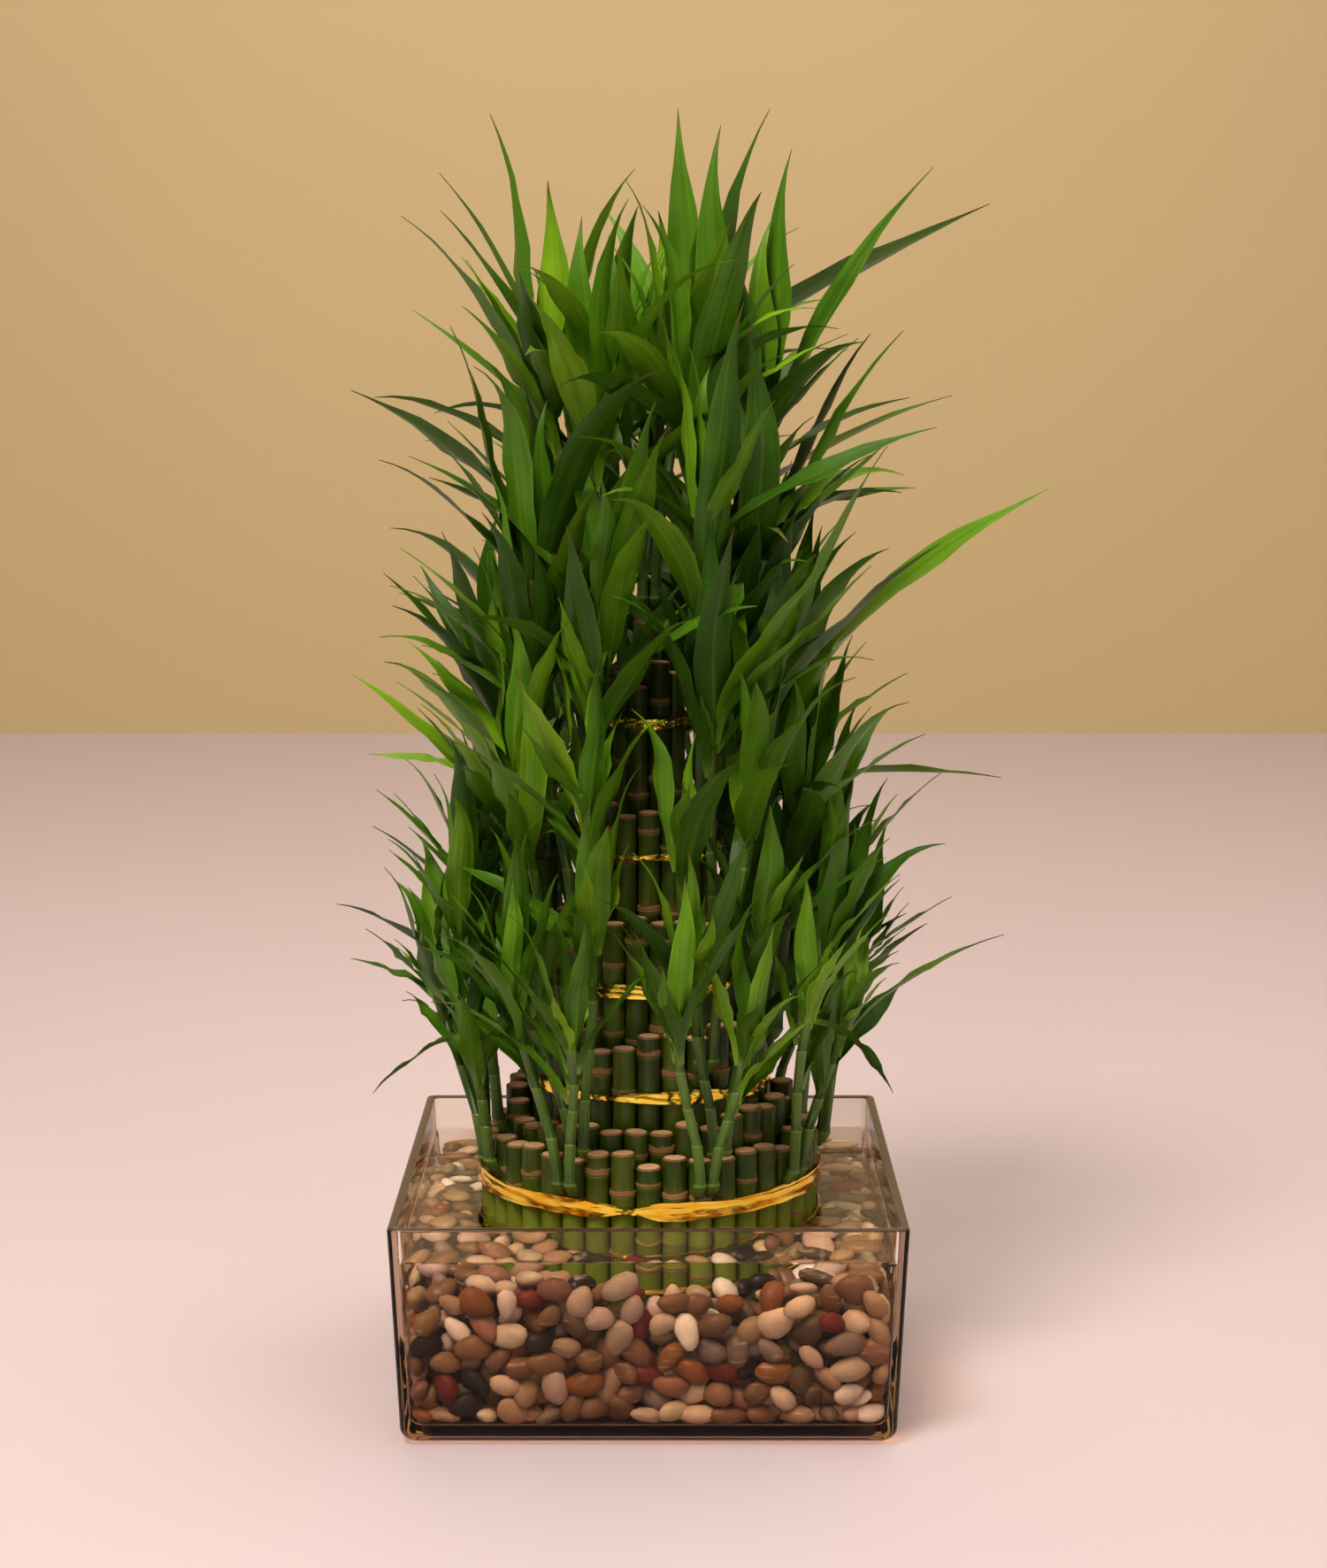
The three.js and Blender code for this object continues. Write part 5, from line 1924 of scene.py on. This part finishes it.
@dataclass(frozen=True)
class Tie:
    """One turn of doubled foil ribbon round the canes, in millimetres."""

    name: str
    node: str
    radius: float
    middle: float
    half: float
    part: float = 1.3
    slant: float = 0.0
    slack: float = 0.5
    knot: float | None = None


TIES = (
    Tie("foil_tie_1", "ribbon_tie_1", 88.4, 107.3, 3.6, part=1.2, knot=-1.68),
    Tie("foil_tie_2", "ribbon_tie_2", 62.4, 157.0, 2.3, slack=1.1, knot=-1.95),
    Tie("foil_tie_3", "ribbon_tie_3", 49.4, 208.0, 2.1, slack=0.9, knot=-1.30),
    Tie("foil_tie_4", "ribbon_tie_4", 36.4, 274.0, 1.9, part=1.2, slack=0.9, knot=-1.75),
    Tie("foil_tie_5", "ribbon_tie_5", 21.7, 339.0, 1.7, part=1.1, slack=0.6),
    Tie("foil_tie_low", "ribbon_tie_low", 88.4, 74.0, 0.8, part=0.5, slant=6.0),
)


@dataclass(frozen=True)
class FoilSizes:
    """How the foil is crumpled, in millimetres."""

    columns: int = 264
    rows_up: int = 7
    thickness: float = 0.25
    weave: float = 0.40
    fold: float = 0.34
    crumple: float = 0.13
    kink: float = 0.07
    pinch_length: float = 11.0
    pinch: float = 0.72
    weave_drift: float = 1.6
    crumple_lean: float = 0.10
    kink_lean: float = 0.20
    width_drift: float = 0.22
    width_crumple: float = 0.10
    folds: float = 1.2
    fold_drift: float = 0.9
    lowest_side: float = 0.9
    knot: tuple[float, float, float] = (2.9, 1.6, 2.1)
    knot_out: float = 0.6
    knot_dents: int = 5
    knot_dent: float = 0.10


class Ribbons:
    """The gold foil ties."""

    SIZE = FoilSizes()

    def __init__(self) -> None:
        """Makes the finish."""
        self.finish = FoilFinish().material()

    def _band(self, tie: Tie, number: int, strand: int) -> Piece:
        """Returns one of the two strands of a tie.

        Args:
            tie: its sizes.
            number: of the tie.
            strand: 0 or 1.

        Returns:
            The strand.
        """
        size = self.SIZE
        start_clean()
        bpy.ops.mesh.primitive_circle_add(
            vertices=size.columns, radius=1.0, fill_type="NOTHING", location=(0, 0, 0)
        )
        band = bpy.context.object
        open_for_editing(band)
        for _ in range(size.rows_up - 1):
            bpy.ops.mesh.extrude_edges_move(TRANSFORM_OT_translate={"value": (0, 0, 1)})
        close_editing()
        shared = Draws(Seed.RIBBON.value + number)
        own = Draws(Seed.STRAND.value + number * 2 + strand)
        points = points_of(band)
        angle = np.arctan2(points[:, 1], points[:, 0])
        across = points[:, 2] / (size.rows_up - 1) * 2 - 1
        sag = ripples(shared, (2, 3, 5))(angle)
        weave = 2 * angle + size.weave_drift * ripples(shared, (1, 2, 4))(angle) + math.pi * strand
        drift = ripples(own, (3, 5, 8))(angle)
        crumple = ripples(own, (13, 19, 31))(angle + size.crumple_lean * across)
        kinks = ripples(own, (43, 67))(angle - size.kink_lean * across)
        pinch = np.zeros(len(points))
        if tie.knot is not None:
            off = np.arctan2(np.sin(angle - tie.knot), np.cos(angle - tie.knot))
            pinch = np.exp(-((off * tie.radius / size.pinch_length) ** 2))
        half = tie.half * (1 + size.width_drift * drift + size.width_crumple * crumple)
        half = half * (1 - size.pinch * pinch)
        fold = np.abs(((across * size.folds + size.fold_drift * drift) % 2) - 1)
        radius = tie.radius + size.weave * np.sin(weave) + size.fold * (fold - 0.5) * (1 - pinch)
        radius = radius + size.crumple * crumple + size.kink * kinks
        height = tie.middle + half * across + tie.part * np.cos(weave) * (1 - pinch) + tie.slack * sag
        height += tie.slant * np.sin(angle + size.lowest_side)
        set_points(band, np.stack([radius * np.cos(angle), radius * np.sin(angle), height], 1))
        return band

    def _knot(self, tie: Tie, sag: float) -> Piece:
        """Returns the crushed knot at the front of a tie.

        Args:
            tie: its sizes.
            sag: how far the strands hang from the middle there.

        Returns:
            The knot.
        """
        size = self.SIZE
        start_clean()
        bpy.ops.mesh.primitive_ico_sphere_add(subdivisions=3, radius=1.0, location=(0, 0, 0))
        knot = bpy.context.object
        points = points_of(knot)
        draws = Draws(Seed.KNOT.value)
        for _ in range(size.knot_dents):
            way = unit(np.array([draws.sway(1), draws.sway(1), draws.sway(1)]))
            points *= (1 + size.knot_dent * np.sin(5 * points @ way + draws.between(0, TURN)))[:, None]
        points = points * size.knot * (0.6 + tie.half / 6.0)
        middle = polar(tie.radius + size.knot_out, tie.knot, tie.middle + tie.slack * sag)
        set_points(knot, points + middle)
        return knot

    def build(self) -> None:
        """Models every tie."""
        for number, tie in enumerate(TIES):
            parts = []
            for strand in range(2):
                band = self._band(tie, number, strand)
                solid = band.modifiers.new("foil", "SOLIDIFY")
                solid.thickness = self.SIZE.thickness * MM
                solid.offset = 0.0
                select_alone(band)
                bpy.ops.object.modifier_apply(modifier=solid.name)
                parts.append(band)
            if tie.knot is not None:
                sag = ripples(Draws(Seed.RIBBON.value + number), (2, 3, 5))(np.array([tie.knot]))[0]
                parts.append(self._knot(tie, sag))
            piece = join(parts, tie.name)
            piece.data.materials.clear()
            piece.data.materials.append(self.finish)
            smooth(piece, 24)
            place(piece, [tie.node])


# The studio


@dataclass(frozen=True)
class Lamp:
    """A soft square light."""

    name: str
    at: tuple[float, float, float]
    aim: tuple[float, float, float]
    size: float
    power: float
    colour: Colour


LAMPS = (
    Lamp("key", (-0.6, -1.05, 2.1), (0.0, 0.0, 0.30), 0.6, 44.0, (1.0, 0.94, 0.82)),
    Lamp("spark", (-0.45, -1.7, 1.35), (0.0, 0.0, 0.20), 0.12, 5.0, (1.0, 0.95, 0.85)),
    Lamp("fill", (1.5, -1.6, 1.2), (0.0, 0.0, 0.25), 1.2, 7.0, (1.0, 0.93, 0.82)),
    Lamp("top", (0.3, 0.1, 2.4), (0.0, 0.0, 0.2), 1.0, 20.0, (1.0, 0.94, 0.84)),
    Lamp("wall", (0.0, 0.9, 2.6), (0.0, 2.4, 0.9), 1.6, 23.0, (1.0, 0.91, 0.74)),
)


class Studio:
    """Floor, backdrop, lights and camera."""

    LENS = 67.66
    SENSOR = 36.0
    CAMERA_AT = (0.0072, -1.4782, 0.5358)
    PITCH = 8.858
    SHEET = 7.0
    WALL_AT = (0.0, 2.4, 3.4)
    AIR = (1.0, 0.93, 0.82, 1.0)
    AIR_STRENGTH = 0.24

    def build(self) -> None:
        """Sets the stage up."""
        self._floor()
        self._backdrop()
        for lamp in LAMPS:
            self._lamp(lamp)
        world = bpy.data.worlds.new("studio")
        world.use_nodes = True
        air = world.node_tree.nodes["Background"]
        air.inputs["Color"].default_value = self.AIR
        air.inputs["Strength"].default_value = self.AIR_STRENGTH
        bpy.context.scene.world = world
        bpy.context.scene.view_settings.view_transform = "Standard"
        self._camera()

    def _floor(self) -> None:
        """Lays the floor."""
        start_clean()
        bpy.ops.mesh.primitive_plane_add(size=self.SHEET, location=(0, 0, 0))
        floor = bpy.context.object
        floor.name = "floor"
        floor.data.materials.append(StageFinish("floor_paint", (0.64, 0.52, 0.56)).material())

    def _backdrop(self) -> None:
        """Stands a plain wall up behind the object."""
        start_clean()
        bpy.ops.mesh.primitive_plane_add(size=self.SHEET, location=(0, 0, 0), rotation=(math.pi / 2, 0, 0))
        wall = bpy.context.object
        wall.name = "backdrop"
        wall.location = self.WALL_AT
        wall.data.materials.append(StageFinish("backdrop_paint", (0.61, 0.455, 0.23)).material())

    @staticmethod
    def _lamp(lamp: Lamp) -> None:
        """Hangs one light."""
        data = bpy.data.lights.new(lamp.name, "AREA")
        data.shape = "SQUARE"
        data.size = lamp.size
        data.energy = lamp.power
        data.color = lamp.colour
        light = bpy.data.objects.new(lamp.name, data)
        bpy.context.collection.objects.link(light)
        light.location = lamp.at
        look = Vector(lamp.aim) - Vector(lamp.at)
        light.rotation_euler = look.to_track_quat("-Z", "Y").to_euler()

    def _camera(self) -> None:
        """Places the camera at the photograph's viewing angle."""
        data = bpy.data.cameras.new("camera")
        data.lens = self.LENS
        data.sensor_width = self.SENSOR
        camera = bpy.data.objects.new("camera", data)
        bpy.context.collection.objects.link(camera)
        camera.location = self.CAMERA_AT
        camera.rotation_euler = (math.radians(90 - self.PITCH), 0, 0)
        bpy.context.scene.camera = camera


def main() -> None:
    """Builds every piece in order."""
    logging.basicConfig(level=logging.INFO, format="%(message)s")
    layout = PlantLayout()
    Studio().build()
    bowl = Bowl()
    bowl.build_glass()
    bowl.build_water()
    Pebbles().build()
    Canes(layout).build()
    Ribbons().build()
    Shoots(layout).build()
    start_clean()


if __name__ == "__main__":
    main()
